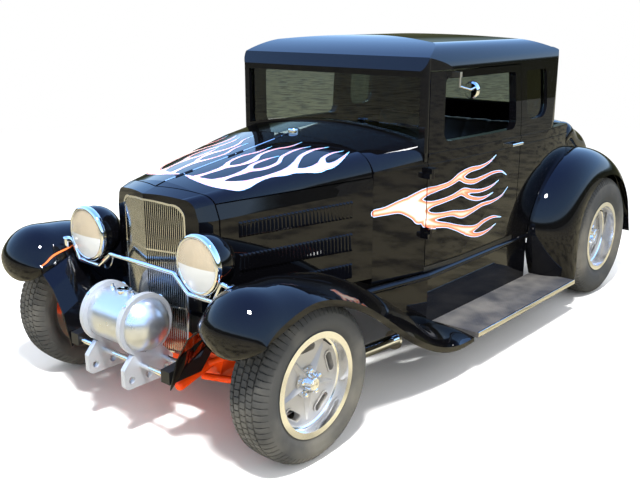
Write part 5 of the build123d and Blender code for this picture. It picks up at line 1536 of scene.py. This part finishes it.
@dataclass(frozen=True)
class Gauges:
    """A row of round gauges in the dash, with plain dials and bright rims."""

    y: float
    z: float
    spots: tuple[tuple[float, float], ...] = ((0.24, 0.036), (0.36, 0.036), (0.10, 0.024), (0.02, 0.024))

    def build(self) -> None:
        """Makes the rims and the plain dials."""
        rims, dials = Shape(), Shape()
        for x, r in self.spots:
            place = facing((x, self.y, self.z), (0, 1, 0))
            rim = ((r - 0.004, 0.0), (r - 0.004, 0.005), (r, 0.007), (r + 0.003, 0.004), (r + 0.003, 0.0))
            rims.turned(rim, place, 48)
            dials.turned(((r - 0.003, 0.0), (r - 0.003, 0.002), (0.0, 0.002)), place, 48)
            dials.turned(((0.004, 0.002), (0.004, 0.004), (0.0, 0.0045)), place, 24)
        rims.piece("gauge_rims", "chrome", "body", "chrome_plate")
        dials.piece("gauge_dials", "dial", "body", "cabin_black")


# Camera, light and floor


@dataclass
class Studio:
    """The photograph's viewpoint over a pale floor, under a soft blue sky and one key light."""

    eye: Point = (2.6351, -3.4557, 1.6476)
    look: Point = (-0.62816596, 0.73219053, -0.26325758)
    lens_mm: float = 46.49
    floor_colour: str = "#f6f5f2"
    sky: tuple[tuple[float, str], ...] = (
        (0.0, "#3a3a28"), (0.10, "#2c3022"), (0.14, "#5b6a6e"), (0.17, "#b4d4f6"), (0.35, "#8fbcf4"),
        (1.0, "#5c86da"),
    )
    sky_strength: float = 2.7
    even_strength: float = 1.05
    floor_size: float = 60.0

    def place_camera(self) -> None:
        """Sets the camera where the photographer stood."""
        data = bpy.data.cameras.new("camera")
        data.lens = self.lens_mm
        data.sensor_width = 36.0
        data.clip_end = 200.0
        camera = bpy.data.objects.new("camera", data)
        bpy.context.scene.collection.objects.link(camera)
        camera.location = self.eye
        camera.rotation_euler = Vector(self.look).to_track_quat("-Z", "Y").to_euler()
        bpy.context.scene.camera = camera

    def lay_floor(self) -> None:
        """Lays the floor."""
        half = self.floor_size / 2
        mesh = bpy.data.meshes.new("floor_plane")
        corners = [(x * half, y * half, 0) for x, y in ((-1, -1), (1, -1), (1, 1), (-1, 1))]
        mesh.from_pydata(corners, [], [(0, 1, 2, 3)])
        mesh.materials.append(FieldFloorFinish("rolled studio floor", self.floor_colour, 0.9).build())
        floor = bpy.data.objects.new("floor_plane", mesh)
        bpy.context.scene.collection.objects.link(floor)

    def light_sky(self) -> None:
        """Lights the car evenly, with a blue sky over dark trees for mirrors and white for the camera."""
        world = bpy.data.worlds.new("studio sky")
        bpy.context.scene.world = world
        world.use_nodes = True
        tree = world.node_tree
        mirrored = tree.nodes["Background"]
        place = add_node(tree, "ShaderNodeTexCoord").outputs["Generated"]
        split = add_node(tree, "ShaderNodeSeparateXYZ", links={0: place})
        height = add_range(tree, split.outputs["Z"], (0.0, 1.0))
        tree.links.new(add_ramp(tree, height, self.sky), mirrored.inputs["Color"])
        mirrored.inputs["Strength"].default_value = self.sky_strength
        settings = {"Color": linear("#f6f9ff"), "Strength": self.even_strength}
        even = add_node(tree, "ShaderNodeBackground", settings)
        white = add_node(tree, "ShaderNodeBackground", {"Color": linear("#ffffff"), "Strength": 1.0})
        path = add_node(tree, "ShaderNodeLightPath")
        links = {0: path.outputs["Is Glossy Ray"], 1: even.outputs[0], 2: mirrored.outputs[0]}
        lit = add_node(tree, "ShaderNodeMixShader", links=links)
        links = {0: path.outputs["Is Camera Ray"], 1: lit.outputs[0], 2: white.outputs[0]}
        chosen = add_node(tree, "ShaderNodeMixShader", links=links)
        tree.links.new(chosen.outputs[0], tree.nodes["World Output"].inputs["Surface"])

    def hang_lights(self) -> None:
        """Hangs the key light, where the sun stood, and two broad fills that mirrors don't show."""
        for name, where, size, power, mirrored in (
            ("key_panel", (2.4, -3.4, 6.5), 0.7, 900.0, True),
            ("fill_panel", (6.0, -3.0, 3.0), 4.0, 120.0, False),
            ("rear_panel", (-4.5, 5.0, 5.0), 4.0, 200.0, False),
        ):
            data = bpy.data.lights.new(name, "AREA")
            data.size = size
            data.energy = power
            lamp = bpy.data.objects.new(name, data)
            bpy.context.scene.collection.objects.link(lamp)
            lamp.location = where
            lamp.rotation_euler = (Vector((0, 0, 0.6)) - Vector(where)).to_track_quat("-Z", "Y").to_euler()
            lamp.visible_glossy = mirrored
        bpy.context.scene.view_settings.view_transform = "Standard"

    def build(self) -> None:
        """Sets up the whole studio."""
        self.place_camera()
        self.lay_floor()
        self.light_sky()
        self.hang_lights()


def main() -> None:
    """Builds the studio and dresses the car."""
    Studio().build()
    dress_nodes()
    fit_wheels()
    paint_sides()
    paint_tops()
    fit_headlamps()
    TankFittings().build()
    BoardTrim().build()
    LampConduit().build()
    Louvers().build()
    stripe_fenders()
    Bench().build()
    low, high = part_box("dashboard")
    Gauges(high[1] + 0.0002, low[2] + 0.07).build()


if __name__ == "__main__":
    main()
